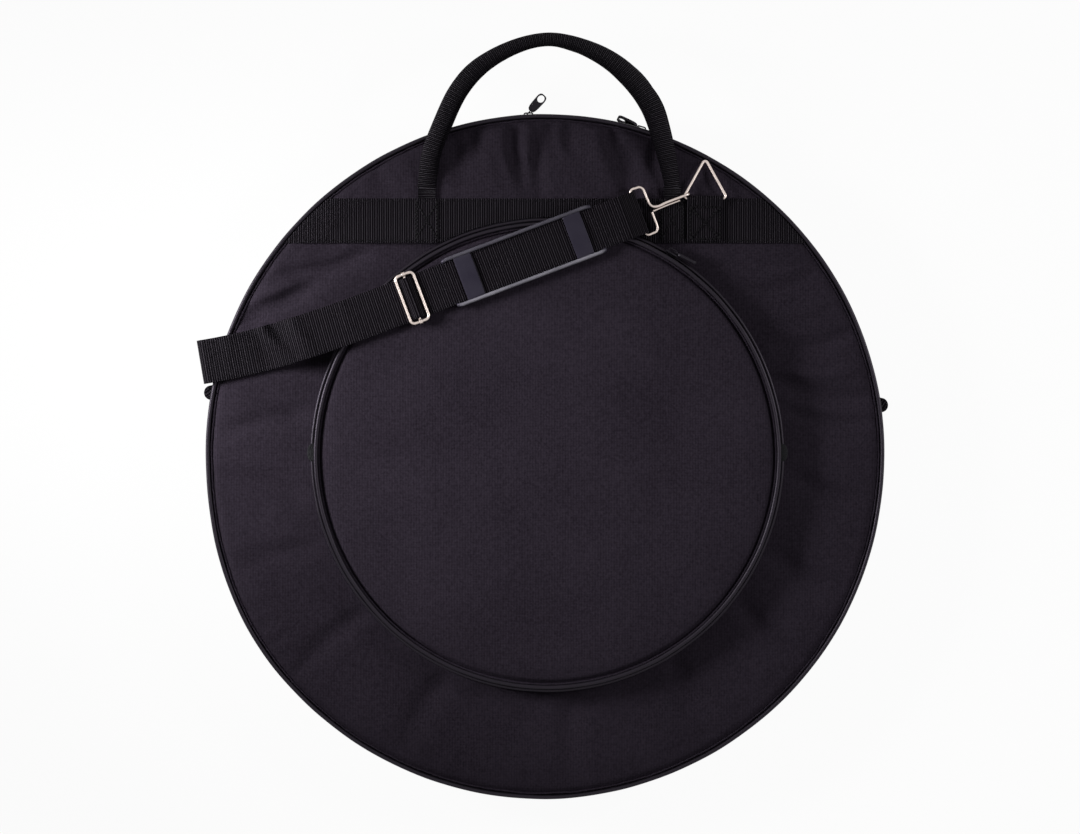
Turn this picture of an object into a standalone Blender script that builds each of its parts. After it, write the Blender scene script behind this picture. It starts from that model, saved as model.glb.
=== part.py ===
"""A round padded cymbal bag lying on its back, face up.

The origin is the centre of the back panel where it rests. +Z comes out of the front panel and
+Y points to the carry handle. All sizes are in metres.
"""

from math import asin, atan2, cos, degrees, pi, radians, sin, sqrt, tan

import bmesh
import bpy
from mathutils import Matrix, Vector

# Fits
clearance = 0.0003
cut_overrun = 0.0010

# Main bag
bag_radius = 0.2900
bag_height = 0.0500
shell_thickness = 0.0010
lining_thickness = 0.0010
back_pad_height = 0.0143
front_pad_height = 0.0100
gusset_wall = 0.0014
back_edge_height = 0.0050
front_edge_drop = 0.0024
piping_radius = 0.0018

# Zips
zip_height = 0.0260
zip_slot = 0.0012
zip_tape_width = 0.0100
coil_width = 0.0014
coil_depth = 0.0012
pocket_tape_width = 0.0032
pocket_tape_thickness = 0.0008
pocket_zip_start = 3.0
end_tab_reach = 0.0110
end_tab_length = 0.0130
end_tab_width = 0.0240
strap_tab_gap = 0.00275
pocket_tab_reach = 0.0060
pocket_tab_length = 0.0150
pocket_tab_height = 0.0080

# Sliders and pulls
slider_length = 0.0110
slider_width = 0.0090
pocket_slider_width = 0.0074
slider_plate = 0.0016
slider_web = 0.0006
slider_tail = 0.0010
bridge_length = 0.0084
bridge_height = 0.0038
bridge_width = 0.0014
bridge_bar = 0.0011
left_slider_angle = 92.8
right_slider_angle = 73.5
pocket_slider_angle = 58.5
pull_thickness = 0.0010
pull_eye_length = 0.0070
pull_eye_width = 0.0046
pull_eye_wall = 0.0009
pull_eye_rise = 0.0012
pull_eye_back = 0.0020
steep_lean = 60.0
pull_tab_length = 0.0155
pull_tab_width = 0.0072
pull_tab_wall = 0.0012
pull_hole_length = 0.0055
pull_tab_corner = 0.0020
left_pull_lean = 44.8
right_pull_lean = 82.0
pocket_pull_lean = 86.0
left_pull_twist = 90.0
right_pull_twist = 30.0
pocket_pull_twist = 0.0

# Pocket
pocket_centre_x = 0.0020
pocket_centre_y = -0.0010
pocket_height = 0.0160
pocket_lean = 0.0044
pocket_wall = 0.0012
pocket_foam_thickness = 0.0030
pocket_piping_inset = 0.0011
pocket_base_piping_rise = 0.0019

# Webbing
band_width = 0.0380
band_thickness = 0.0014
band_end_inset = 0.0084
hump_height = 0.0016
hump_margin = 0.0045
tab_thickness = 0.0011
strap_width = 0.0375
strap_thickness = 0.0016

# Handle
handle_tail_width = 0.0150
handle_tail_inset = 0.0040
handle_gap = 0.0072
handle_tail_thickness = 0.0012
handle_start = 0.0015
handle_wall = 0.0016
handle_base_half = 0.0022
handle_flat_length = 0.0450
handle_max_half = 0.0100

# Triangle ring
ring_wire = 0.0011
ring_half = 0.0187
ring_corner = 0.0022

# Hook
hook_wire = 0.0010
tee_side = 0.00175
tee_depth = 0.0110
tee_height = 0.0064
hook_reach = 0.0313
eye_radius = 0.0035
catch_turn = 10.0
gate_offset = 0.0030
gate_lean = 0.0006
gate_length = 0.0245

# Strap route
fold_heading = 9.5
back_heading = 26.5
wrap_reach = 0.0065
wrap_corner = 0.0055
drop_length = 0.0125
sewn_tail = 0.0110
back_sewn_tail = 0.0220

# Shoulder pad
pad_slide_room = 0.0165
pad_plate = 0.0025
pad_rail_width = 0.0028
pad_rail_height = 0.0068
pad_bridge_width = 0.0155
pad_bridge_thickness = 0.0018

# Adjuster
adjuster_length = 0.0190
adjuster_width = 0.0450
adjuster_wire = 0.0014
adjuster_corner = 0.0045
adjuster_bar = 0.0011
adjuster_strip_width = 0.0360
adjuster_strip_half = 0.0054

# Recess in the back
strap_recess = 0.0042
hardware_recess = 0.0096
recess_margin = 0.0020
recess_rim = 0.0030
recess_below = 0.0070
recess_room = 0.0080

# Counts
ring_steps = 72
wire_steps = 6
pipe_sides = 6
route_steps = 18

# Places and sizes across the bag, as shares of its radius
fold_share = 0.2069
back_flat_share = 0.9379
front_flat_share = 0.9517
right_tab_share = 0.1414
pocket_share = 0.6859
band_share = 0.6207
front_tab_share = 0.4697
back_tab_share = 0.3862
handle_left_share = -0.3472
handle_right_share = 0.3734
handle_top_share = 1.2183
pad_share = (-0.0621, 0.5821)
fold_point_share = (-0.9897, 0.2741)
adjuster_share = 0.3483
climb_share = (0.1552, 0.3034)
pad_length_share = 0.4655
bridge_spacing_share = 0.7311
ring_rise_share = 0.8468

# Shares of the other sizes they follow
tee_shares = (
    (0.00, -0.17),
    (-0.05, -0.50),
    (-0.12, -0.82),
    (-0.32, -0.97),
    (-0.60, -1.00),
    (-0.86, -1.00),
    (-1.00, -0.945),
    (-1.00, 0.945),
    (-0.86, 1.00),
    (-0.60, 1.00),
    (-0.32, 0.97),
    (-0.09, 0.82),
    (0.00, 0.45),
    (0.10, 0.12),
)
handle_shares = (
    (-1.000, 0.000, 0.80),
    (-0.985, 0.120, 0.84),
    (-0.960, 0.262, 0.85),
    (-0.850, 0.460, 0.86),
    (-0.785, 0.595, 0.86),
    (-0.675, 0.735, 0.84),
    (-0.520, 0.855, 0.74),
    (-0.240, 0.970, 0.62),
    (-0.030, 1.000, 0.60),
    (0.115, 0.990, 0.62),
    (0.335, 0.930, 0.72),
    (0.575, 0.820, 0.92),
    (0.800, 0.605, 0.98),
    (0.875, 0.460, 0.94),
    (0.955, 0.200, 0.80),
    (0.990, 0.080, 0.72),
    (1.000, 0.000, 0.66),
)
tab_corner_share = 0.6
inner_plate_share = 0.8
eye_corner_share = 0.5
hole_corner_share = 0.6
gate_wire_share = 0.8

# Sizes that follow from those above
fold_y = bag_radius * fold_share
back_flat_radius = bag_radius * back_flat_share
front_flat_radius = bag_radius * front_flat_share
right_tab_y = bag_radius * right_tab_share
pocket_base_radius = bag_radius * pocket_share
pocket_face_radius = pocket_base_radius - pocket_lean
band_bottom_y = bag_radius * band_share
band_top_y = band_bottom_y + band_width
ring_axis_y = band_top_y
front_tab_x = bag_radius * front_tab_share
back_tab_x = bag_radius * back_tab_share
handle_left_x = bag_radius * handle_left_share
handle_right_x = bag_radius * handle_right_share
handle_top_y = bag_radius * handle_top_share
handle_tail_y = band_bottom_y + handle_tail_inset
handle_axis_y = band_top_y + handle_gap
pad_x, pad_y = (bag_radius * share for share in pad_share)
fold_point_x, fold_point_y = (bag_radius * share for share in fold_point_share)
left_tab_y = fold_point_y - strap_width / 2 - strap_tab_gap - end_tab_length / 2
tee_half = strap_width / 2 + tee_side
pad_to_adjuster = bag_radius * adjuster_share
climb_start, climb_end = (bag_radius * share for share in climb_share)
pad_length = bag_radius * pad_length_share
bridge_spacing = pad_length * bridge_spacing_share
inner_layer_end = pad_length / 2 + pad_slide_room
gusset_radius = bag_radius - 2 * piping_radius - clearance
gusset_inside = gusset_radius - gusset_wall
panel_radius = gusset_inside - clearance
recess_radius = panel_radius - recess_rim
ring_rise = (sqrt(recess_radius**2 - back_tab_x**2) - band_top_y) * ring_rise_share
front_lining_bottom = bag_height - front_pad_height
gusset_bottom = back_edge_height - shell_thickness / 2
gusset_top = bag_height - front_edge_drop - clearance
pocket_floor = bag_height + clearance
pocket_top = bag_height + pocket_height
pocket_x_y = Vector((pocket_centre_x, pocket_centre_y, 0))
bar_height = 3 * clearance + band_thickness + tab_thickness + ring_wire
eye_height = clearance + hook_wire + eye_radius
layer_step = strap_thickness + clearance
corner_run = ring_corner / tan(atan2(ring_rise, ring_half) / 2)
catch_x = corner_run - ring_half - ring_corner * cos(radians(catch_turn))
catch_y = ring_axis_y + ring_corner * (1 + sin(radians(catch_turn)))
strap_run = Vector((front_tab_x + catch_x - pad_x, catch_y - pad_y))
strap_heading = degrees(atan2(strap_run.y, strap_run.x))
pad_to_bar = strap_run.length - tee_depth - hook_reach
tab_width = 2 * (ring_half - corner_run - clearance)
inner_rest = bag_height + clearance + strap_thickness / 2
outer_rest = inner_rest + layer_step

world_of = {None: Matrix()}


def clear_scene():
    for old in list(bpy.context.scene.objects):
        bpy.data.objects.remove(old, do_unlink=True)


def material(name, colour, roughness, metallic=0.0):
    made = bpy.data.materials.new(name)
    made.use_nodes = True
    shader = made.node_tree.nodes["Principled BSDF"]
    shader.inputs["Base Color"].default_value = (*colour, 1.0)
    shader.inputs["Roughness"].default_value = roughness
    shader.inputs["Metallic"].default_value = metallic
    return made


def put(obj, parent, world):
    """Parents an object and places it by its place in the world."""
    bpy.context.scene.collection.objects.link(obj)
    obj.parent = parent
    obj.matrix_basis = world_of[parent and parent.name].inverted() @ world
    world_of[obj.name] = world.copy()
    return obj


def axis_empty(name, parent, x, y, z, turn=0.0):
    """The empty that stands on a joint's axis."""
    world = Matrix.Translation((x, y, z)) @ Matrix.Rotation(radians(turn), 4, "Z")
    return put(bpy.data.objects.new(name, None), parent, world)


def add_solid(name, bm, look, parent, world=None):
    """Makes an object of a closed mesh, with its faces turned outwards."""
    bmesh.ops.recalc_face_normals(bm, faces=bm.faces)
    mesh = bpy.data.meshes.new(name)
    bm.to_mesh(mesh)
    bm.free()
    mesh.materials.append(look)
    return put(bpy.data.objects.new(name, mesh), parent, world or Matrix())


def cutter(name, bm):
    """A helper solid that only shapes its neighbour."""
    bmesh.ops.recalc_face_normals(bm, faces=bm.faces)
    mesh = bpy.data.meshes.new(name)
    bm.to_mesh(mesh)
    bm.free()
    obj = put(bpy.data.objects.new(name, mesh), None, Matrix())
    obj.hide_render = True
    obj.display_type = "WIRE"
    return obj


def combine(obj, operation, other):
    boolean = obj.modifiers.new(operation.title(), "BOOLEAN")
    boolean.operation = operation
    boolean.solver = "EXACT"
    boolean.object = other


def polar(radius, angle):
    return radius * cos(angle), radius * sin(angle)


def arc_points(x, y, radius, start, end, steps):
    """Points of an arc round (x, y), its angles in degrees."""
    turns = [radians(start + (end - start) * step / steps) for step in range(steps + 1)]
    return [(x + radius * cos(turn), y + radius * sin(turn)) for turn in turns]


def spun_ring(profile, centre=Vector(), start=0.0, end=360.0):
    """A solid turned about the bag's axis from (radius, height) points."""
    bm = bmesh.new()
    whole = end - start == 360.0
    steps = ring_steps if whole else round(ring_steps * (end - start) / 360.0)
    turns = [radians(start + (end - start) * step / steps) for step in range(steps + (not whole))]
    rings = []
    for radius, height in profile:
        spots = [(*polar(radius, turn), height) for turn in turns] if radius else [(0, 0, height)]
        rings.append([bm.verts.new(Vector(spot) + centre) for spot in spots])
    for index, ring in enumerate(rings):
        follow = rings[(index + 1) % len(rings)]
        for step in range(steps):
            after = (step + 1) % len(turns)
            corners = (ring[step % len(ring)], ring[after % len(ring)])
            corners += (follow[after % len(follow)], follow[step % len(follow)])
            corners = list(dict.fromkeys(corners))
            if len(corners) > 2:
                bm.faces.new(corners)
    if not whole:
        bm.faces.new([ring[0] for ring in rings])
        bm.faces.new([ring[-1] for ring in rings])
    return bm


def keep_side(bm, side):
    """Cuts a solid along the fold and keeps its upper (+1) or lower (-1) side."""
    everything = bm.verts[:] + bm.edges[:] + bm.faces[:]
    place = (0, fold_y + side * clearance, 0)
    bmesh.ops.bisect_plane(bm, geom=everything, plane_co=place, plane_no=(0, side, 0), clear_inner=True)
    rim = [edge for edge in bm.edges if edge.is_boundary]
    bmesh.ops.holes_fill(bm, edges=rim)
    return bm


def add_halves(name, look, flap, make):
    """The lower half stays with the bag and the upper half lifts with the flap."""
    add_solid(name + "_upper", keep_side(make(), 1), look, flap)
    return add_solid(name + "_lower", keep_side(make(), -1), look, None)


def prism(outline, bottom, top):
    """A closed outline of (x, y) points raised from bottom to top."""
    bm = bmesh.new()
    low = [bm.verts.new((x, y, bottom)) for x, y in outline]
    high = [bm.verts.new((x, y, top)) for x, y in outline]
    bm.faces.new(low)
    bm.faces.new(high)
    for index in range(len(outline)):
        after = (index + 1) % len(outline)
        bm.faces.new((low[index], low[after], high[after], high[index]))
    return bm


def box(low, high):
    outline = [(low[0], low[1]), (high[0], low[1]), (high[0], high[1]), (low[0], high[1])]
    return prism(outline, low[2], high[2])


def ring_prism(outer, inner, bottom, top):
    """A flat ring between two outlines with as many points."""
    bm = bmesh.new()
    loops = [[bm.verts.new((x, y, z)) for x, y in line] for line in (outer, inner) for z in (bottom, top)]
    pairs = ((0, 1), (1, 3), (3, 2), (2, 0))
    for index in range(len(outer)):
        after = (index + 1) % len(outer)
        for first, second in pairs:
            one, two = loops[first], loops[second]
            bm.faces.new((one[index], one[after], two[after], two[index]))
    return bm


def rounded_outline(half_x, half_y, corner, centre_x=0.0, steps=3):
    points = []
    for quarter, (side_x, side_y) in enumerate(((1, 1), (-1, 1), (-1, -1), (1, -1))):
        x = centre_x + side_x * (half_x - corner)
        y = side_y * (half_y - corner)
        points += arc_points(x, y, corner, quarter * 90, quarter * 90 + 90, steps)
    return points


def strip_in_circle(low_y, high_y, radius, steps=6):
    """The outline of a band across a circle, its ends cut along the rim."""
    low, high = degrees(asin(low_y / radius)), degrees(asin(high_y / radius))
    right = arc_points(0, 0, radius, low, high, steps)
    return right + arc_points(0, 0, radius, 180 - high, 180 - low, steps)


def tube_mesh(bm, rings):
    """Joins rings of points into a tube with closed ends."""
    made = [[bm.verts.new(spot) for spot in ring] for ring in rings]
    for one, two in zip(made, made[1:]):
        for index in range(len(one)):
            after = (index + 1) % len(one)
            bm.faces.new((one[index], one[after], two[after], two[index]))
    bm.faces.new(made[0])
    bm.faces.new(made[-1])
    return bm


def add_wire(name, points, radius, look, parent, world=None, closed=False, sides=1):
    """A bent wire along points, as a curve with a round bevel."""
    data = bpy.data.curves.new(name, "CURVE")
    data.dimensions = "3D"
    data.bevel_depth = radius
    data.bevel_resolution = sides
    data.use_fill_caps = True
    spline = data.splines.new("POLY")
    spline.points.add(len(points) - 1)
    for spot, point in zip(spline.points, points):
        spot.co = (*point, 1.0)
    spline.use_cyclic_u = closed
    data.materials.append(look)
    return put(bpy.data.objects.new(name, data), parent, world or Matrix())


def bent_route(start, start_heading, end, end_heading):
    """A level curve from start to end. It gives the point and heading at a length along it."""
    reach = (end - start).length / 3
    leave = Vector((*polar(reach, radians(start_heading)), 0))
    arrive = Vector((*polar(reach, radians(end_heading)), 0))
    controls = (start, start + leave, end - arrive, end)
    spots = []
    for step in range(route_steps + 1):
        t = step / route_steps
        shares = ((1 - t) ** 3, 3 * t * (1 - t) ** 2, 3 * t * t * (1 - t), t**3)
        spots.append(sum((share * spot for share, spot in zip(shares, controls)), Vector()))
    lengths = [0.0]
    for one, two in zip(spots, spots[1:]):
        lengths.append(lengths[-1] + (two - one).length)

    def route(along):
        if along <= 0:
            return start + leave.normalized() * along, radians(start_heading)
        if along >= lengths[-1]:
            return end + arrive.normalized() * (along - lengths[-1]), radians(end_heading)
        index = next(place for place, length in enumerate(lengths) if length > along)
        share = (along - lengths[index - 1]) / (lengths[index] - lengths[index - 1])
        point = spots[index - 1].lerp(spots[index], share)
        turn = start_heading + (end_heading - start_heading) * along / lengths[-1]
        return point, radians(turn)

    return route, lengths[-1]


def slope_at(path, index):
    before, after = path[max(index - 1, 0)], path[min(index + 1, len(path) - 1)]
    return Vector((after[0] - before[0], after[1] - before[1])).normalized()


def shifted(path, distance):
    """The path moved square to itself, to its left."""
    moved = []
    for index, (along, height) in enumerate(path):
        slope = slope_at(path, index)
        moved.append((along - slope.y * distance, height + slope.x * distance))
    return moved


def webbing(route, path, width, thickness):
    """Webbing along (length, height) points of a route."""
    rings = []
    for index, (along, height) in enumerate(path):
        slope = slope_at(path, index)
        point, heading = route(along)
        lead = Vector((cos(heading), sin(heading), 0))
        across = Vector((-sin(heading), cos(heading), 0)) * width / 2
        normal = (Vector((0, 0, 1)) * slope.x - lead * slope.y) * thickness / 2
        centre = point + Vector((0, 0, height))
        ring = (centre - across - normal, centre + across - normal)
        rings.append(ring + (centre + across + normal, centre - across + normal))
    return tube_mesh(bmesh.new(), rings)


def eased(start, end, low, high, steps=8):
    """Points that climb smoothly from low to high between two lengths."""
    shares = [step / steps for step in range(steps + 1)]
    return [(start + (end - start) * t, low + (high - low) * (1 - cos(pi * t)) / 2) for t in shares]


def pocket_wall_point(height):
    """Radius of the pocket's outer wall at a height."""
    share = (height - pocket_floor) / (pocket_top - pocket_floor)
    return pocket_base_radius + (pocket_face_radius - pocket_base_radius) * share


def pocket_normal():
    return Vector((pocket_top - pocket_floor, pocket_base_radius - pocket_face_radius)).normalized()


def beside_pocket(height, distance):
    """A (radius, height) point at a distance square to the pocket's wall."""
    spot = Vector((pocket_wall_point(height), height)) + pocket_normal() * distance
    return spot.x, spot.y


def pocket_piping_profile(height):
    radius, level = beside_pocket(height, piping_radius + clearance)
    return arc_points(radius, level, piping_radius, 0, 360, pipe_sides)[:-1]


def pocket_crown():
    """The top of the piping round the pocket's face."""
    return max(level for _, level in pocket_piping_profile(pocket_top - pocket_piping_inset))


def recess_outlines(grow):
    """Plans of the shallow strap channel and of the deep place for the band and hardware."""
    route, length = back_route()
    half = strap_width / 2 + recess_margin + grow
    left, right = [], []
    stations = [length * step / route_steps for step in range(route_steps + 1)]
    for along in [-wrap_reach - cut_overrun] + stations:
        point, heading = route(along)
        across = Vector((-sin(heading), cos(heading), 0)) * half
        left.append((point + across).to_2d())
        right.append((point - across).to_2d())
    channel = [tuple(spot) for spot in left + right[::-1]]
    radius = recess_radius + grow
    low, high = band_bottom_y - recess_below - grow, band_top_y + recess_margin + grow
    strip = strip_in_circle(low, high, radius)
    middle = len(strip) // 2
    foot = hook_place(back_tab_x, back_heading)
    bar_x = foot.x - tee_depth * cos(radians(back_heading)) - tee_half * sin(radians(back_heading))
    near = bar_x - recess_room - grow
    far = back_tab_x + ring_half + ring_wire + recess_margin + grow
    top = ring_axis_y + ring_rise + ring_wire + recess_margin + grow
    corner = [(far, top)]
    if far**2 + top**2 > radius**2:
        start, end = degrees(atan2(sqrt(radius**2 - far**2), far)), degrees(asin(top / radius))
        corner = arc_points(0, 0, radius, start, end, 4)
    step = [(far, high)] + corner + [(near, top), (near, high)]
    return channel, strip[:middle] + step + strip[middle:]


def back_route():
    end = hook_place(back_tab_x, back_heading) - Vector((*polar(tee_depth, radians(back_heading)), 0))
    return bent_route(Vector((fold_point_x, fold_point_y, 0)), fold_heading, end, back_heading)


def hook_place(tab_x, heading):
    """The foot of a hook whose eye holds the ring's lower corner, seen from above."""
    catch = Vector((tab_x + catch_x, catch_y, 0))
    return catch - Vector((*polar(hook_reach, radians(heading)), 0))


def front_route():
    pad = Vector((pad_x, pad_y, 0))
    lead = Vector((cos(radians(strap_heading)), sin(radians(strap_heading)), 0))
    bend_end = pad - lead * pad_to_adjuster
    return bent_route(Vector((fold_point_x, fold_point_y, 0)), fold_heading, bend_end, strap_heading)


def make_looks():
    return {
        "cloth": material("shell_cloth", (0.022, 0.019, 0.026), 0.85),
        "foam": material("foam", (0.10, 0.10, 0.11), 0.95),
        "lining": material("lining", (0.03, 0.03, 0.035), 0.80),
        "vinyl": material("piping_vinyl", (0.03, 0.03, 0.033), 0.35),
        "webbing": material("webbing", (0.012, 0.012, 0.013), 0.80),
        "zip": material("zip_black", (0.010, 0.010, 0.012), 0.55),
        "nickel": material("nickel_wire", (0.80, 0.72, 0.66), 0.25, 1.0),
        "pull": material("pull_metal", (0.03, 0.03, 0.035), 0.35, 0.8),
        "rubber": material("pad_rubber", (0.035, 0.040, 0.050), 0.45),
    }


def piping_profile(height):
    radius = bag_radius - piping_radius
    return arc_points(radius, height, piping_radius, 0, 360, pipe_sides)[:-1]


def make_back(looks):
    """Back panel with its recess, lining, piping and the gusset's fixed parts."""
    edge = (back_edge_height, back_edge_height + shell_thickness)
    flat = (back_flat_radius, back_flat_radius - shell_thickness / 2)
    shell = [(0, 0), (flat[0], 0), (panel_radius, edge[0]), (panel_radius, edge[1])]
    shell += [(flat[1], shell_thickness), (0, shell_thickness)]
    fabric = add_solid("back_shell_cloth", spun_ring(shell), looks["cloth"], None)
    wide = recess_outlines(shell_thickness)
    narrow = recess_outlines(0)
    wider = recess_outlines(shell_thickness + clearance)
    roofs = (strap_recess + shell_thickness, hardware_recess + shell_thickness)
    reach = panel_radius - clearance
    disc = [(0, -cut_overrun), (reach, -cut_overrun), (reach, back_pad_height), (0, back_pad_height)]
    limit = cutter("panel_limit", spun_ring(disc))
    for piece in recess_cutters("roof", wide, (shell_thickness / 2, roofs)):
        combine(piece, "INTERSECT", limit)
        combine(fabric, "UNION", piece)
    hollow = (-cut_overrun, (strap_recess, hardware_recess))
    for piece in recess_cutters("hollow", narrow, hollow):
        combine(fabric, "DIFFERENCE", piece)

    foam_low = shell_thickness + clearance
    foam_top = back_pad_height - lining_thickness - clearance
    outline = [(0, foam_low), (flat[1], foam_low), (panel_radius, edge[1] + clearance)]
    outline += [(panel_radius, foam_top), (0, foam_top)]
    foam = add_solid("back_foam", spun_ring(outline), looks["foam"], None)
    gap = (0, (roofs[0] + clearance, roofs[1] + clearance))
    for piece in recess_cutters("foam_cut", wider, gap):
        combine(foam, "DIFFERENCE", piece)
    low, high = back_pad_height - lining_thickness, back_pad_height
    lining = spun_ring([(0, low), (panel_radius, low), (panel_radius, high), (0, high)])
    add_solid("back_lining", lining, looks["lining"], None)
    piping = spun_ring(piping_profile(gusset_bottom + piping_radius))
    add_solid("back_piping", piping, looks["vinyl"], None)


def recess_cutters(name, outlines, heights):
    """The channel and the band's place as solids that shape the back."""
    bottom, roofs = heights
    kinds = zip(("_channel", "_hardware"), outlines, roofs)
    return [cutter(name + kind, prism(outline, bottom, roof)) for kind, outline, roof in kinds]


def wall(low, high, inside, outside):
    return [(inside, low), (outside, low), (outside, high), (inside, high)]


def make_gusset(looks, flap):
    """The strip round the rim. Its upper half is split by the zip."""
    gusset = wall(gusset_bottom, gusset_top, gusset_inside, gusset_radius)
    add_solid("gusset_lower", keep_side(spun_ring(gusset), -1), looks["cloth"], None)
    half_slot = zip_slot / 2
    tape_edge = half_slot + zip_tape_width
    levels = {
        "back": (gusset_bottom, zip_height - tape_edge - clearance, -1, None),
        "front": (zip_height + tape_edge + clearance, gusset_top, 1, flap),
    }
    for name, (low, high, side, parent) in levels.items():
        strip = spun_ring(wall(low, high, gusset_inside, gusset_radius))
        add_solid("gusset_strip_" + name, keep_side(strip, 1), looks["cloth"], parent)
        ends = sorted((zip_height + side * half_slot, zip_height + side * tape_edge))
        tape = spun_ring(wall(*ends, gusset_radius - shell_thickness, gusset_radius))
        add_solid("zip_tape_" + name, keep_side(tape, 1), looks["zip"], parent)
        ends = sorted((zip_height + side * half_slot, zip_height + side * (half_slot + coil_width)))
        inner = gusset_radius + clearance
        coil = spun_ring(wall(*ends, inner, inner + coil_depth))
        add_solid("zip_coil_" + name, keep_side(coil, 1), looks["zip"], parent)
    for name, side, place in (("left", -1, left_tab_y), ("right", 1, right_tab_y)):
        add_end_tab(name, side, place, looks)


def add_end_tab(name, side, place, looks):
    """Folded webbing sewn over an end of the main zip."""
    half = end_tab_length / 2
    corner = half * tab_corner_share
    root = gusset_radius + clearance
    turn = asin(place / bag_radius)
    points = [(root, -half)] + arc_points(root + end_tab_reach - corner, half - corner, corner, 0, 90, 3)
    points += [(root, half)]
    points[1:1] = arc_points(root + end_tab_reach - corner, corner - half, corner, -90, 0, 3)
    solid = prism(points, zip_height - end_tab_width / 2, zip_height + end_tab_width / 2)
    turned = Matrix.Rotation(turn if side > 0 else pi - turn, 4, "Z")
    add_solid("zip_end_tab_" + name, solid, looks["webbing"], None, turned)


def make_front(looks, flap):
    """Front panel in layers, split along the fold, with its piping."""
    flat = (front_flat_radius, front_flat_radius - shell_thickness / 2)
    drop = bag_height - front_edge_drop
    shell = [(0, bag_height), (flat[0], bag_height), (panel_radius, drop)]
    shell += [(panel_radius, drop - shell_thickness), (flat[1], bag_height - shell_thickness)]
    shell += [(0, bag_height - shell_thickness)]
    add_halves("front_shell_cloth", looks["cloth"], flap, lambda: spun_ring(shell))
    low = front_lining_bottom + lining_thickness + clearance
    high = bag_height - shell_thickness - clearance
    foam = [(0, low), (panel_radius, low), (panel_radius, drop - shell_thickness - clearance)]
    foam += [(flat[1], high), (0, high)]
    add_halves("front_foam", looks["foam"], flap, lambda: spun_ring(foam))
    high = front_lining_bottom + lining_thickness
    lining = [(0, front_lining_bottom), (panel_radius, front_lining_bottom), (panel_radius, high), (0, high)]
    add_halves("front_lining", looks["lining"], flap, lambda: spun_ring(lining))
    piping = piping_profile(gusset_top - piping_radius / 2)
    add_halves("front_piping", looks["vinyl"], flap, lambda: spun_ring(piping))


def make_pocket(looks, flap):
    """The round outside pocket with its padded face, side wall, two pipings and zip."""
    inside = (pocket_base_radius - pocket_wall, pocket_face_radius - pocket_wall)
    rim = pocket_top - pocket_piping_inset
    rim_radius = pocket_wall_point(rim)
    side = [(inside[0], pocket_floor), (pocket_base_radius, pocket_floor), (rim_radius, rim)]
    side += [(rim_radius - pocket_wall, rim)]
    lower_side = add_halves("pocket_side", looks["cloth"], flap, lambda: spun_ring(side, pocket_x_y))
    reach = inside[1] - clearance
    low = pocket_top - shell_thickness
    face = [(0, low), (reach, low), (reach, pocket_top), (0, pocket_top)]
    add_halves("pocket_face_cloth", looks["cloth"], flap, lambda: spun_ring(face, pocket_x_y))
    high = low - clearance
    bottom = high - pocket_foam_thickness
    pad = [(0, bottom), (reach, bottom), (reach, high), (0, high)]
    add_halves("pocket_face_foam", looks["foam"], flap, lambda: spun_ring(pad, pocket_x_y))
    for name, height in (("face", rim), ("base", pocket_floor + pocket_base_piping_rise)):
        profile = pocket_piping_profile(height)
        add_halves("pocket_piping_" + name, looks["vinyl"], flap, lambda: spun_ring(profile, pocket_x_y))
    make_pocket_zip(looks, flap, lower_side)


def pocket_zip_height():
    low = pocket_floor + pocket_base_piping_rise
    return (low + pocket_top - pocket_piping_inset) / 2


def pocket_zip(start):
    """The closed zip on the pocket's leaning side: both tapes and the coil between them."""
    middle = pocket_zip_height()
    tape = zip_slot / 2 + pocket_tape_width
    coil = zip_slot / 2 + coil_width
    face = clearance + pocket_tape_thickness
    crest = face + coil_depth
    steps = [(-tape, start), (-tape, face), (-coil, face), (-coil, crest)]
    steps += [(coil, crest), (coil, face), (tape, face), (tape, start)]
    profile = [beside_pocket(middle + rise, distance) for rise, distance in steps]
    return spun_ring(profile, pocket_x_y, pocket_zip_start, 180.0 - pocket_zip_start)


def make_pocket_zip(looks, flap, lower_side):
    """Zip round the upper half. Its two ends below the fold are one with the pocket's side."""
    add_solid("pocket_zip", keep_side(pocket_zip(clearance), 1), looks["zip"], flap)
    ends = cutter("pocket_zip_ends", keep_side(pocket_zip(-pocket_wall / 2), -1))
    combine(lower_side, "UNION", ends)
    middle = pocket_zip_height()
    for name, side in (("left", -1), ("right", 1)):
        root = beside_pocket(middle - pocket_tab_height / 2, clearance)[0]
        half = pocket_tab_length / 2
        outline = [(root, -half), (root + pocket_tab_reach, -half * tab_corner_share)]
        outline += [(root + pocket_tab_reach, half * tab_corner_share), (root, half)]
        level = middle - pocket_tab_height / 2
        solid = prism(outline, level, level + pocket_tab_height)
        turn = radians(pocket_zip_start) - (half + 2 * clearance) / root
        place = Matrix.Translation(pocket_x_y) @ Matrix.Rotation(turn if side > 0 else pi - turn, 4, "Z")
        add_solid("pocket_end_tab_" + name, solid, looks["webbing"], None, place)


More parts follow.
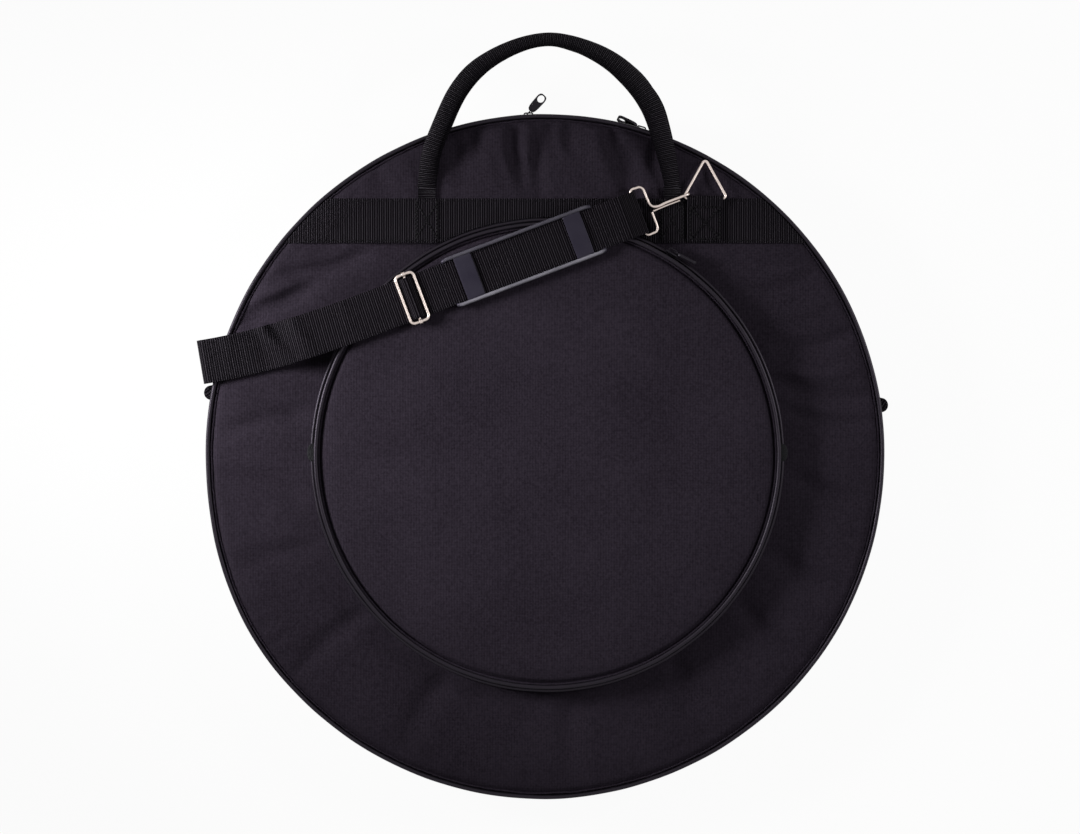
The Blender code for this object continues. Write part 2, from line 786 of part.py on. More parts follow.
def slider_solid(name, look, parent, world, width, gap_to_plate, tail_depth):
    """Zip slider: outer plate, web through the slot, inner plate and a bridge for the pull."""
    half_width, half_web = width / 2, slider_web / 2
    outer = gap_to_plate
    tail = -tail_depth
    profile = [(half_width, outer), (half_width, outer + slider_plate), (-half_width, outer + slider_plate)]
    profile += [(-half_width, outer), (-half_web, outer)]
    half_tail = half_width * inner_plate_share
    if tail_depth > 0:
        profile += [(-half_web, tail), (-half_tail, tail)]
        profile += [(-half_tail, tail - slider_tail), (half_tail, tail - slider_tail)]
        profile += [(half_tail, tail), (half_web, tail)]
    else:
        profile += [(-half_web, outer / 2), (half_web, outer / 2)]
    profile += [(half_web, outer)]
    bm = prism([(across, depth) for across, depth in profile], -slider_length / 2, slider_length / 2)
    # The prism is raised along Z and then turned so that its length lies along X.
    turned = Matrix(((0, 0, 1), (0, 1, 0), (1, 0, 0))).to_4x4()
    bmesh.ops.transform(bm, matrix=turned, verts=bm.verts)
    obj = add_solid(name, bm, look, parent, world)
    base = outer + slider_plate - slider_web / 2
    half = bridge_length / 2
    crown = base + bridge_height
    arch = [(-half, base), (-half, crown), (half, crown), (half, base), (half - bridge_bar, base)]
    arch += [(half - bridge_bar, crown - bridge_bar), (bridge_bar - half, crown - bridge_bar)]
    arch += [(bridge_bar - half, base)]
    bridge = cutter(name + "_bridge", prism(arch, -bridge_width / 2, bridge_width / 2))
    bridge.matrix_basis = world
    combine(obj, "UNION", bridge)
    return obj


def pull_solid(name, look, parent, world, twist):
    """Zip pull: an eye round the slider's bridge and a tab with a long hole, turned on its neck."""
    eye_half = pull_eye_length / 2
    half_width = pull_eye_width / 2
    eye_x = eye_half - pull_eye_wall / 2
    corner = half_width * eye_corner_share
    outer = rounded_outline(eye_half, half_width, corner, eye_x)
    inner = rounded_outline(eye_half - pull_eye_wall, half_width - pull_eye_wall, corner / 2, eye_x)
    depth = (-pull_thickness / 2, pull_thickness / 2)
    obj = add_solid(name, ring_prism(outer, inner, *depth), look, parent, world)
    tab_half = pull_tab_length / 2
    tab_x = eye_x + eye_half + tab_half - pull_eye_wall / 2
    outer = rounded_outline(tab_half, pull_tab_width / 2, pull_tab_corner, tab_x)
    hole_x = tab_x + tab_half - pull_tab_wall - pull_hole_length / 2
    hole_half = pull_tab_width / 2 - pull_tab_wall
    hole_corner = pull_tab_corner * hole_corner_share
    inner = rounded_outline(pull_hole_length / 2, hole_half, hole_corner, hole_x)
    tab = cutter(name + "_tab", ring_prism(outer, inner, *depth))
    tab.matrix_basis = world @ Matrix.Rotation(radians(twist), 4, "X")
    combine(obj, "UNION", tab)
    return obj


def add_slider(name, looks, parent, centre, radius, height, angle, lean, way, twist, width, gap, tail):
    """A slider on its round path, and its pull on the bridge. The pull leans by lean from square."""
    turn = axis_empty(name + "_axis", parent, centre.x, centre.y, height, angle)
    spot = Matrix.Translation((centre.x, centre.y, height)) @ Matrix.Rotation(radians(angle - 90), 4, "Z")
    slider_world = spot @ Matrix.Translation((0, radius, 0))
    slider_solid(name, looks["pull"], turn, slider_world, width, gap, tail)
    face = gap + slider_plate
    leads = Matrix.Rotation(radians(90 + way * lean), 4, "Z") @ Matrix.Rotation(pi / 2, 4, "X")
    if lean < steep_lean:
        # The eye goes round the bridge's bar and swings about it.
        bar = face + bridge_height - (slider_web + bridge_bar) / 2
        pin_world = slider_world @ Matrix.Translation((0, bar, 0))
        pull_world = pin_world @ leads @ Matrix.Translation((-pull_eye_back, 0, 0))
    else:
        # The eye's end lies under the bar, with one leg of the bridge through it.
        pin_world = slider_world @ Matrix.Translation((0, face + pull_eye_rise, 0))
        pull_world = pin_world @ leads
    hinge = axis_empty(name + "_pull_axis", turn, *pin_world.translation, angle - 90)
    pull_solid(name + "_pull", looks["pull"], hinge, pull_world, twist)


def make_sliders(looks, flap):
    gap = clearance * 2 + coil_depth
    tail = shell_thickness + clearance * 3
    centre = Vector()
    args = (looks, flap, centre, gusset_radius, zip_height)
    rest = (slider_width, gap, tail)
    add_slider("slider_left", *args, left_slider_angle, left_pull_lean, -1, left_pull_twist, *rest)
    add_slider("slider_right", *args, right_slider_angle, right_pull_lean, 1, right_pull_twist, *rest)
    middle = pocket_zip_height()
    radius = beside_pocket(middle, clearance)[0] + pocket_tape_thickness
    gap = clearance * 3 + coil_depth + (pocket_base_radius - pocket_face_radius) / 4
    args = ("pocket_slider", looks, flap, pocket_x_y, radius, middle, pocket_slider_angle)
    add_slider(*args, pocket_pull_lean, -1, pocket_pull_twist, pocket_slider_width, gap, 0)


def make_band(name, looks, parent, level, up, humps):
    """Webbing across the bag, raised over the handle's tails where it has them."""
    low = level + up * clearance
    high = low + up * band_thickness
    outline = strip_in_circle(band_bottom_y, band_top_y, panel_radius - band_end_inset)
    obj = add_solid(name, prism(outline, min(low, high), max(low, high)), looks["webbing"], parent)
    if humps:
        radius = beside_pocket(pocket_floor + pocket_base_piping_rise, 2 * piping_radius + 2 * clearance)[0]
        plan = arc_points(pocket_centre_x, pocket_centre_y, radius, 0, 360, ring_steps)[:-1]
        combine(obj, "DIFFERENCE", cutter(name + "_pocket", prism(plan, level, level + band_width)))
    for label, x in humps:
        half = handle_tail_width / 2 + hump_margin
        top = high + hump_height
        inner = high - band_thickness / 2
        raised = box((x - half, band_bottom_y + clearance, inner), (x + half, band_top_y - clearance, top))
        combine(obj, "UNION", cutter(f"{name}_hump_{label}", raised))
        half = handle_tail_width / 2 + clearance
        roof = level + 2 * clearance + handle_tail_thickness
        slot_low = (x - half, handle_tail_y - clearance, level - cut_overrun)
        slot = box(slot_low, (x + half, band_top_y + cut_overrun, roof))
        combine(obj, "DIFFERENCE", cutter(f"{name}_slot_{label}", slot))


def make_ring_set(prefix, looks, parent, tab_x, level, up):
    """Webbing tab and triangle ring on a band."""
    bar = bar_height * up + level
    turn = ring_wire + clearance + tab_thickness / 2
    low = bar - up * turn
    loop = arc_points(ring_axis_y, bar, turn, -90 * up, 90 * up, 6)
    step = (tab_thickness + clearance) * up
    start = band_bottom_y + 2 * clearance
    back = ring_axis_y - 3 * turn
    path = [(start, low), (back, low)] + loop + [(back, low + step), (start, low + step)]
    side_route = lambda along: (Vector((tab_x, along, 0)), pi / 2)
    solid = webbing(side_route, path, tab_width, tab_thickness)
    add_solid(prefix + "_ring_tab", solid, looks["webbing"], parent)

    hinge = axis_empty(prefix + "_ring_axis", parent, tab_x, ring_axis_y, bar)
    lie = (clearance + ring_wire) * up + level
    tilt = atan2(lie - bar, ring_rise)
    points = triangle_points()
    world = Matrix.Translation((tab_x, ring_axis_y, bar)) @ Matrix.Rotation(tilt, 4, "X")
    add_wire(prefix + "_ring", points, ring_wire, looks["nickel"], hinge, world, closed=True)


def triangle_points():
    """Centre line of the ring: a triangle with round corners, its base along X."""
    corners = [Vector((-ring_half, 0)), Vector((ring_half, 0)), Vector((0, ring_rise))]
    points = []
    for index, corner in enumerate(corners):
        before = (corners[index - 1] - corner).normalized()
        after = (corners[(index + 1) % 3] - corner).normalized()
        half = before.angle(after) / 2
        centre = corner + (before + after).normalized() * ring_corner / sin(half)
        first = corner + before * ring_corner * cos(half) / sin(half)
        start = atan2(*(first - centre).yx)
        sweep = pi - 2 * half
        for step in range(5):
            points.append((*(centre + Vector(polar(ring_corner, start + sweep * step / 4))), 0))
    return points


def hook_points(up):
    """Centre line of the hook from the gate's seat, round the T-loop and out to the eye."""
    points = [(depth * tee_depth, half * tee_half, 0) for depth, half in tee_shares]
    rise = (eye_height + eye_radius - tee_height) * up
    middle = (eye_height - tee_height) * up
    points += [(tee_depth / 3, 0, rise / 3), (hook_reach - eye_radius, 0, rise)]
    for x, z in arc_points(hook_reach, middle, eye_radius, 90 * up, -90 * up, 8):
        points.append((x, 0, z))
    points.append((hook_reach - eye_radius / 2, 0, middle - eye_radius * up))
    return points


def make_hook(prefix, looks, parent, tab_x, level, up, heading):
    """Bent wire hook and its spring gate."""
    spot = hook_place(tab_x, heading)
    world = Matrix.Translation((spot.x, spot.y, level + tee_height * up))
    world = world @ Matrix.Rotation(radians(heading), 4, "Z")
    add_wire(prefix + "_hook", hook_points(up), hook_wire, looks["nickel"], parent, world)
    seat = world @ Matrix.Translation((hook_wire + clearance, -gate_offset, 0))
    hinge = axis_empty(prefix + "_gate_axis", parent, *seat.translation)
    rise = (eye_height - tee_height) * up
    points = [(0, 0, 0), (gate_length / 2, gate_lean, 0), (gate_length, gate_lean, -rise / 2)]
    add_wire(prefix + "_hook_gate", points, hook_wire * gate_wire_share, looks["nickel"], hinge, seat)


def make_handle(looks, flap):
    """Padded carry handle: foam core, webbing cover and two flat tails under the band."""
    base = bag_height + clearance
    for name, x in (("left", handle_left_x), ("right", handle_right_x)):
        half = handle_tail_width / 2
        solid = box((x - half, handle_tail_y, base), (x + half, handle_axis_y, base + handle_tail_thickness))
        add_solid("handle_tail_" + name, solid, looks["webbing"], flap)
    hinge = axis_empty("handle_axis", flap, 0, handle_axis_y, base + handle_tail_thickness / 2)
    stations = handle_stations()
    outer = handle_rings(stations, 0)
    inner = handle_rings(stations, handle_wall)
    core = handle_rings(stations, handle_wall + clearance)
    bm = bmesh.new()
    loops = [[[bm.verts.new(spot) for spot in ring] for ring in rings] for rings in (outer, inner)]
    for shell in loops:
        for one, two in zip(shell, shell[1:]):
            for index in range(len(one)):
                after = (index + 1) % len(one)
                bm.faces.new((one[index], one[after], two[after], two[index]))
    for end in (0, -1):
        one, two = loops[0][end], loops[1][end]
        for index in range(len(one)):
            after = (index + 1) % len(one)
            bm.faces.new((one[index], one[after], two[after], two[index]))
    add_solid("handle_cover", bm, looks["webbing"], hinge)
    add_solid("handle_core", tube_mesh(bmesh.new(), core[3:-3]), looks["foam"], hinge)


def handle_stations():
    """(place, half width) along the handle's arch."""
    start = handle_axis_y + handle_start
    middle = (handle_left_x + handle_right_x) / 2
    half_span = (handle_right_x - handle_left_x) / 2
    rise = handle_top_y - start
    return [
        (Vector((middle + half_span * x, start + rise * y, 0)), handle_max_half * half)
        for x, y, half in handle_shares
    ]


def handle_rings(stations, inset):
    """Rings round the handle, flat at its ends and round along the grip."""
    rings = []
    lengths = [0.0]
    for (one, _), (two, _) in zip(stations, stations[1:]):
        lengths.append(lengths[-1] + (two - one).length)
    for index, (spot, half) in enumerate(stations):
        before, after = stations[max(index - 1, 0)][0], stations[min(index + 1, len(stations) - 1)][0]
        lead = (after - before).normalized()
        if index in (0, len(stations) - 1):
            lead = Vector((0, 1 if index == 0 else -1, 0))
        side = Vector((lead.y, -lead.x, 0))
        free = min(lengths[index], lengths[-1] - lengths[index])
        ease = min(free / handle_flat_length, 1.0)
        tall = handle_base_half + (half - handle_base_half) * ease
        centre = spot + Vector((0, 0, bag_height + clearance + tall))
        ring = []
        for step in range(10):
            turn = 2 * pi * step / 10
            wide, high = (half - inset) * cos(turn), (tall - min(inset, tall / 3)) * sin(turn)
            ring.append(centre + side * wide + Vector((0, 0, high)))
        rings.append(ring)
    return rings


def strap_level():
    """Height of the strap's middle where it runs through the pad."""
    return pocket_crown() + 2 * clearance + pad_plate + strap_thickness / 2


def make_strap(looks, flap):
    """Shoulder strap: one layer to the adjuster, two from there round the rim to the rear hook."""
    route, bend = front_route()
    pad_at = bend + pad_to_adjuster
    bar_at = pad_at + pad_to_bar
    level = strap_level()
    bar = bag_height + tee_height
    turn = hook_wire + clearance + strap_thickness / 2
    split = clearance / 2
    curve = [(climb_end + (bend - climb_end) * step / 6, level) for step in range(1, 7)]
    path = [(split, outer_rest)] + eased(climb_start, climb_end, outer_rest, level) + curve
    drop_at = bar_at - drop_length
    fall = degrees(atan2(level - bar, bar_at - drop_at))
    loop = arc_points(bar_at, bar, turn, 90 - fall, -90 - fall, 6)
    path += [(pad_at, level), (drop_at, level)]
    top = Vector(loop[0])
    corner = Vector((drop_at, level))
    lead = (top - corner).normalized()
    halfway = (top + corner) / 2 + Vector((lead.y, -lead.x)) * layer_step
    inside = drop_at - layer_step * tan(radians(fall) / 2)
    path += loop + [tuple(halfway), (inside, level - layer_step), (inside - sewn_tail, level - layer_step)]
    solid = webbing(route, path, strap_width, strap_thickness)
    add_solid("strap_front", solid, looks["webbing"], flap)

    lower = [(split, outer_rest)] + eased(climb_start, climb_end, outer_rest, level) + curve
    lower += [(pad_at - inner_layer_end, level)]
    solid = webbing(route, shifted(lower, -layer_step), strap_width, strap_thickness)
    add_solid("strap_front_inner", solid, looks["webbing"], flap)

    route, length = back_route()
    low = clearance + strap_thickness / 2
    bar = hardware_recess - tee_height
    edge = wrap_corner - wrap_reach
    outer = [(-split, outer_rest)] + arc_points(edge, outer_rest - wrap_corner, wrap_corner, 90, 180, 4)
    outer += arc_points(edge, low + wrap_corner, wrap_corner, 180, 270, 4)
    near = length - back_sewn_tail
    flat = [near * step / route_steps for step in range(1, route_steps + 1)]
    inner = shifted(outer + [(flat[0], low)], layer_step)[:-1]
    inner = [(-split, inner_rest)] + inner[1:]
    path = outer + [(along, low) for along in flat]
    path += arc_points(length, bar, turn, -90, 90, 6)
    path += [(along, low + layer_step) for along in flat[::-1]] + inner[::-1]
    solid = webbing(route, path, strap_width, strap_thickness)
    add_solid("strap_back", solid, looks["webbing"], None)


def make_shoulder_pad(looks, flap):
    """Moulded pad: a plate with two rails, and two bridges that hold it on the strap."""
    base = pocket_crown() + clearance
    world = Matrix.Translation((pad_x, pad_y, base)) @ Matrix.Rotation(radians(strap_heading), 4, "Z")
    inner = strap_width / 2 + clearance
    outer = inner + pad_rail_width
    half = pad_length / 2
    slide = axis_empty("shoulder_pad_axis", flap, pad_x, pad_y, base, strap_heading)
    profile = [(-outer, 0), (outer, 0), (outer, pad_rail_height), (inner, pad_rail_height)]
    profile += [(inner, pad_plate), (-inner, pad_plate), (-inner, pad_rail_height), (-outer, pad_rail_height)]
    bm = prism(profile, -half, half)
    turned = Matrix(((0, 0, 1), (1, 0, 0), (0, 1, 0))).to_4x4()
    bmesh.ops.transform(bm, matrix=turned, verts=bm.verts)
    obj = add_solid("shoulder_pad", bm, looks["rubber"], slide, world)
    low = pad_plate + strap_thickness + 2 * clearance
    for name, side in (("left", -1), ("right", 1)):
        x = side * bridge_spacing / 2
        half = pad_bridge_width / 2
        reach = outer - clearance
        solid = box((x - half, -reach, low), (x + half, reach, low + pad_bridge_thickness))
        bridge = cutter("pad_bridge_" + name, solid)
        bridge.matrix_basis = world
        combine(obj, "UNION", bridge)


def make_adjuster(looks, flap):
    """Tri-glide adjuster: wire frame, centre bar and the webbing that runs over the bar."""
    level = strap_level() + strap_thickness / 2 + clearance + adjuster_wire
    lead = Vector((*polar(pad_to_adjuster, radians(strap_heading)), 0))
    spot = Vector((pad_x, pad_y, level)) - lead
    world = Matrix.Translation(spot) @ Matrix.Rotation(radians(strap_heading), 4, "Z")
    slide = axis_empty("adjuster_axis", flap, *spot, strap_heading)
    half_x = adjuster_length / 2 - adjuster_wire
    half_y = adjuster_width / 2 - adjuster_wire
    outer = rounded_outline(adjuster_length / 2, adjuster_width / 2, adjuster_corner, steps=4)
    inner_corner = adjuster_corner - 2 * adjuster_wire
    inner = rounded_outline(half_x - adjuster_wire, half_y - adjuster_wire, inner_corner, steps=4)
    solid = ring_prism(outer, inner, -adjuster_wire, adjuster_wire)
    frame = add_solid("adjuster_frame", solid, looks["nickel"], slide, world)
    rings = []
    for y in (-half_y, half_y):
        circle = arc_points(0, 0, adjuster_bar, 0, 360, wire_steps)[:-1]
        rings.append([(x, y, z) for x, z in circle])
    bar = cutter("adjuster_bar", tube_mesh(bmesh.new(), rings))
    bar.matrix_basis = world
    combine(frame, "UNION", bar)
    low = strap_thickness / 2 + clearance - adjuster_wire
    crown = adjuster_bar + clearance * 2 + strap_thickness / 2
    path = eased(-adjuster_strip_half, -adjuster_bar, low, crown, 4)
    path += eased(adjuster_bar, adjuster_strip_half, crown, low, 4)
    flat_route = lambda along: (Vector((along, 0, 0)), 0.0)
    solid = webbing(flat_route, path, adjuster_strip_width, strap_thickness)
    add_solid("adjuster_webbing", solid, looks["webbing"], slide, world)


def build():
    clear_scene()
    looks = make_looks()
    flap = axis_empty("front_flap_axis", None, 0, fold_y, pocket_crown() + clearance)
    make_back(looks)
    make_gusset(looks, flap)
    make_front(looks, flap)
    make_pocket(looks, flap)
    make_sliders(looks, flap)
    humps = (("left", handle_left_x), ("right", handle_right_x))
    make_band("front_band", looks, flap, bag_height, 1, humps)
    make_band("back_band", looks, None, hardware_recess, -1, ())
    make_ring_set("front", looks, flap, front_tab_x, bag_height, 1)
    make_ring_set("back", looks, None, back_tab_x, hardware_recess, -1)
    make_hook("front", looks, flap, front_tab_x, bag_height, 1, strap_heading)
    make_hook("back", looks, None, back_tab_x, hardware_recess, -1, back_heading)
    make_handle(looks, flap)
    make_strap(looks, flap)
    make_shoulder_pad(looks, flap)
    make_adjuster(looks, flap)
    bpy.context.view_layer.update()


build()
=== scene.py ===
"""Looks of a round padded cymbal bag that lies on its back, face up, with its strap laid across it."""

from math import asin, atan2, cos, degrees, exp, pi, radians, sin, sqrt, tanh

import bpy
from mathutils import Matrix, Vector, noise


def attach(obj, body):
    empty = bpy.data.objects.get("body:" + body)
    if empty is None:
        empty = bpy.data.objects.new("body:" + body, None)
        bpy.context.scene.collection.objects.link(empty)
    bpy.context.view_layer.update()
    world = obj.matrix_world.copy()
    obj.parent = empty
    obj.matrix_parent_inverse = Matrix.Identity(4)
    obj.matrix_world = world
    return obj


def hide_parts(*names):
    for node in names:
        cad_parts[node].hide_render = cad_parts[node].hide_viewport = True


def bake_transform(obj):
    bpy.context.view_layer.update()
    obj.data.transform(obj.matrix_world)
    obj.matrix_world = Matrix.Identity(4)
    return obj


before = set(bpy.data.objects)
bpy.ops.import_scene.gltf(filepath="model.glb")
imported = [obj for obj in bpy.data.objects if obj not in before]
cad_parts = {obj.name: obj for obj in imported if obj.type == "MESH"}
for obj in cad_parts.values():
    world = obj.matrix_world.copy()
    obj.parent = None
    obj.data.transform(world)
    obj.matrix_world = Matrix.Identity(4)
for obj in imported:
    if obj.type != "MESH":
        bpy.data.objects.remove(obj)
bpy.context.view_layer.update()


# Back panel: coarse woven polyester outside, foam inside and smooth nylon lining within the bag.
# The three layers are quilted as one pad, sewn into the piped rim seam. The strap, its hook and the
# webbing band press their shapes into the side that the bag lies on.

class Signal:
    """A shader socket that can stand in a sum or a product."""

    def __init__(self, finish, socket):
        self.finish, self.socket = finish, socket

    def maths(self, operation, *values):
        return self.finish.node("ShaderNodeMath", {"operation": operation}, dict(enumerate(values)))

    def __add__(self, other):
        return self.maths("ADD", self, other)

    def __sub__(self, other):
        return self.maths("SUBTRACT", self, other)

    def __rsub__(self, other):
        return self.maths("SUBTRACT", other, self)

    def __mul__(self, other):
        return self.maths("MULTIPLY", self, other)

    def __pow__(self, other):
        return self.maths("POWER", self, other)

    __radd__ = __add__
    __rmul__ = __mul__

    def wave(self, pitch):
        return self.maths("SINE", self * (2 * pi / pitch))

    def ramp(self, low, high):
        """0 below low, 1 above high and even between them."""
        settings = {"interpolation_type": "SMOOTHSTEP", "clamp": True}
        return self.finish.node("ShaderNodeMapRange", settings, {0: self, 1: low, 2: high})


class Nodes:
    """A node tree that is written as sums of signals."""

    def __init__(self, tree):
        self.tree, self.nodes = tree, tree.nodes

    def feed(self, node, values):
        for key, value in values.items():
            if isinstance(value, Signal):
                self.tree.links.new(value.socket, node.inputs[key])
            else:
                node.inputs[key].default_value = value

    def node(self, kind, settings=None, values=None, output=0):
        made = self.nodes.new(kind)
        for key, value in (settings or {}).items():
            setattr(made, key, value)
        self.feed(made, values or {})
        return Signal(self, made.outputs[output])


class Finish(Nodes):
    """A surface finish on one Principled shader."""

    def __init__(self, name, colour, roughness, **constants):
        self.material = bpy.data.materials.new(name)
        self.material.use_nodes = True
        super().__init__(self.material.node_tree)
        self.shader = self.nodes["Principled BSDF"]
        self.set(Base_Color=(*colour, 1), Roughness=roughness, **constants)

    def set(self, **values):
        self.feed(self.shader, {key.replace("_", " "): value for key, value in values.items()})

    def axes(self, where):
        """The three numbers of a Texture Coordinate output: Object, or UV in metres."""
        place = self.node("ShaderNodeTexCoord", output=where)
        return place, [self.node("ShaderNodeSeparateXYZ", {}, {0: place}, axis) for axis in range(3)]

    def speckle(self, place, scale, detail=2.0):
        return self.node("ShaderNodeTexNoise", {}, {"Vector": place, "Scale": scale, "Detail": detail})

    def looks(self, shade, dark, light, roughness, height, distance, strength):
        """Sets the colour, the roughness and the relief, and gives the material."""
        colours = {0: shade, 6: (*dark, 1), 7: (*light, 1)}
        colour = self.node("ShaderNodeMix", {"data_type": "RGBA"}, colours, 2)
        relief = {"Height": height, "Distance": distance, "Strength": strength}
        self.set(Base_Color=colour, Roughness=roughness, Normal=self.node("ShaderNodeBump", {}, relief))
        return self.material


def cloth_finish(name, where):
    """Black pack cloth with a violet tinge: a coarse weave, lint and faded patches."""
    finish = Finish(name, (0.020, 0.017, 0.023), 0.8, Specular_IOR_Level=0.05)
    place, (across, along, _) = finish.axes(where)
    lint = finish.speckle(place, 900.0, 1.0)
    patch = finish.speckle(place, 14.0, 3.0)
    slub = finish.speckle(place, 480.0, 2.0)
    weave = (across + 0.0007 * slub).wave(0.0023) * 0.8 + (along + 0.0009 * slub).wave(0.0021) * 0.3
    weave = weave + across.wave(0.00115) * along.wave(0.00105) * 0.4
    shade = weave * 0.12 + slub * 1.1 + patch * 0.5 + lint * 0.3 - 0.45
    return finish.looks(shade, (0.0078, 0.0056, 0.0092), (0.0325, 0.0256, 0.0370), 0.70 + 0.22 * lint,
                        weave * 0.2 + slub * 0.8 + lint * 0.4, 0.00030, 0.8)


def lining_finish():
    """Smooth dark grey nylon, close twill lines and a soft shine."""
    finish = Finish("lining", (0.030, 0.030, 0.034), 0.5, Specular_IOR_Level=0.12)
    place, (across, along, _) = finish.axes("Object")
    twill = (across + along).wave(0.0011)
    patch = finish.speckle(place, 9.0, 3.0)
    return finish.looks(patch * 0.8 + twill * 0.1, (0.022, 0.022, 0.026), (0.045, 0.045, 0.05),
                        0.42 + 0.25 * patch, twill * 0.3 + patch * 2, 0.0002, 0.6)


flat_cloth = cloth_finish("shell_cloth", "Object")
lining = lining_finish()


def alone(piece=None):
    """Clears the selection, and selects and activates the piece if one is given."""
    bpy.ops.object.select_all(action="DESELECT")
    if piece:
        piece.select_set(True)
        bpy.context.view_layer.objects.active = piece


def in_edit(*steps):
    """Runs edit mode operators on the whole of the active mesh."""
    bpy.ops.object.mode_set(mode="EDIT")
    bpy.ops.mesh.select_all(action="SELECT")
    for step, settings in steps:
        step(**settings)
    bpy.ops.object.mode_set(mode="OBJECT")


def joined(merge=0.00001, closed=False):
    """Joins the meeting edges, closes what is open if closed, and turns the faces outwards."""
    everything = (bpy.ops.mesh.select_all, {"action": "SELECT"})
    steps = [(bpy.ops.mesh.remove_doubles, {"threshold": merge}), everything]
    if closed:
        steps += [(bpy.ops.mesh.fill_holes, {"sides": 0}), everything]
    in_edit(*steps, (bpy.ops.mesh.normals_make_consistent, {"inside": False}))


def laid(name, low, high, cells, place):
    """A grid cut flat from low to high, its UV in metres, and then laid in its place."""
    alone()
    bpy.ops.mesh.primitive_grid_add(x_subdivisions=cells[0], y_subdivisions=cells[1], size=1)
    piece = bpy.context.object
    piece.name = name
    mesh = piece.data
    spans = [high[axis] - low[axis] for axis in (0, 1)]
    flat = [tuple(low[axis] + spans[axis] * (vertex.co[axis] + 0.5) for axis in (0, 1))
            for vertex in mesh.vertices]
    uv = mesh.uv_layers.active.data
    for loop in mesh.loops:
        uv[loop.index].uv = flat[loop.vertex_index]
    for vertex, spot in zip(mesh.vertices, flat):
        vertex.co = place(*spot)
    return piece


def modified(piece, kind, **settings):
    """Adds one modifier and applies it."""
    alone(piece)
    added = piece.modifiers.new(kind.lower(), kind)
    for key, value in settings.items():
        setattr(added, key, value)
    bpy.ops.object.modifier_apply(modifier=added.name)
    return piece


def finished(piece, *materials, angle=50.0):
    """Smooth shading, and the materials by slot."""
    alone(piece)
    bpy.ops.object.shade_smooth_by_angle(angle=radians(angle))
    piece.data.materials.clear()
    for material in materials:
        piece.data.materials.append(material)
    return piece


def belongs(piece, slot, body, *nodes):
    """The body that the piece rides on, and the CAD solids that it stands for. The slot is not used."""
    if body:
        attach(piece, body)
    if nodes:
        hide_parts(*nodes)


def round_spot(radius, turn, height, centre=(0, 0)):
    return Vector((centre[0] + radius * cos(turn), centre[1] + radius * sin(turn), height))


def eased(value, low, high):
    """0 below low, 1 above high, and a soft S between them."""
    share = min(max((value - low) / (high - low), 0.0), 1.0)
    return share * share * (3 - 2 * share)


def panel(name, stations, heights, cells, centre=(0, 0)):
    """A closed round pad. Each station is a radius and the side, 0 or 1, whose height it takes."""
    def place(turn, station):
        radius, side = stations[round(station)]
        x, y = centre[0] + radius * cos(turn), centre[1] + radius * sin(turn)
        return Vector((x, y, heights[side](x, y)))

    last = len(stations) - 1
    made = laid(name, (0, 0), (2 * pi, last), (cells, last), place)
    joined(closed=True)
    return made


def spread(start, end, count):
    return [start + (end - start) * step / (count - 1) for step in range(count)]


def towards(heading):
    return Vector((cos(radians(heading)), sin(radians(heading)), 0))


def lengths_along(spots):
    """The length run at each of the spots."""
    lengths = [0.0]
    for one, two in zip(spots, spots[1:]):
        lengths.append(lengths[-1] + (two - one).length)
    return lengths


def bent_route(start, start_heading, end, end_heading):
    """Level curve of the strap: gives the point and the heading at a length along it."""
    reach = (end - start).length / 3
    leave, arrive = towards(start_heading) * reach, towards(end_heading) * reach
    spots = []
    for share in spread(0, 1, 41):
        left = 1 - share
        spot = start * left**3 + (start + leave) * 3 * share * left**2
        spots.append(spot + (end - arrive) * 3 * share**2 * left + end * share**3)
    lengths = lengths_along(spots)

    def route(along):
        if along <= 0:
            return start + leave.normalized() * along, radians(start_heading)
        if along >= lengths[-1]:
            return end + arrive.normalized() * (along - lengths[-1]), radians(end_heading)
        index = next(place for place, length in enumerate(lengths) if length > along)
        share = (along - lengths[index - 1]) / (lengths[index] - lengths[index - 1])
        turn = start_heading + (end_heading - start_heading) * along / lengths[-1]
        return spots[index - 1].lerp(spots[index], share), radians(turn)

    return route, lengths[-1]


def settled(piece):
    """The soft rim sinks outwards a little along its lower edge, most at the lower left."""
    for vertex in piece.data.vertices:
        x, y, _ = vertex.co
        radius = max(sqrt(x * x + y * y), 0.001)
        low = eased(-y / radius, 0.02, 0.62) * (1 - 0.72 * max(x / radius, 0))
        share = 1 + 0.0058 * low * eased(radius, 0.205, 0.284) / radius
        vertex.co.x, vertex.co.y = x * share, y * share


strap_fold, fold_heading = Vector((-0.2870, 0.0795, 0)), 9.5
rear_bar, rear_heading = Vector((0.0570, 0.2015, 0)), 26.5
rear_route, rear_length = bent_route(strap_fold, fold_heading, rear_bar, rear_heading)
rear_path = [rear_route(along)[0] for along in spread(-0.004, rear_length + 0.02, 60)]


def off_strap(x, y):
    """Distance from the middle of the strap under the bag."""
    spot = Vector((x, y, 0))
    near = min(range(1, len(rear_path)), key=lambda index: (rear_path[index] - spot).length_squared)
    one, two = rear_path[near - 1], rear_path[near]
    share = min(max((spot - one).dot(two - one) / (two - one).length_squared, 0.0), 1.3)
    return (spot - one.lerp(two, share)).length


def uneven(x, y, scale, layer):
    return noise.noise(Vector((x * scale, y * scale, layer)))


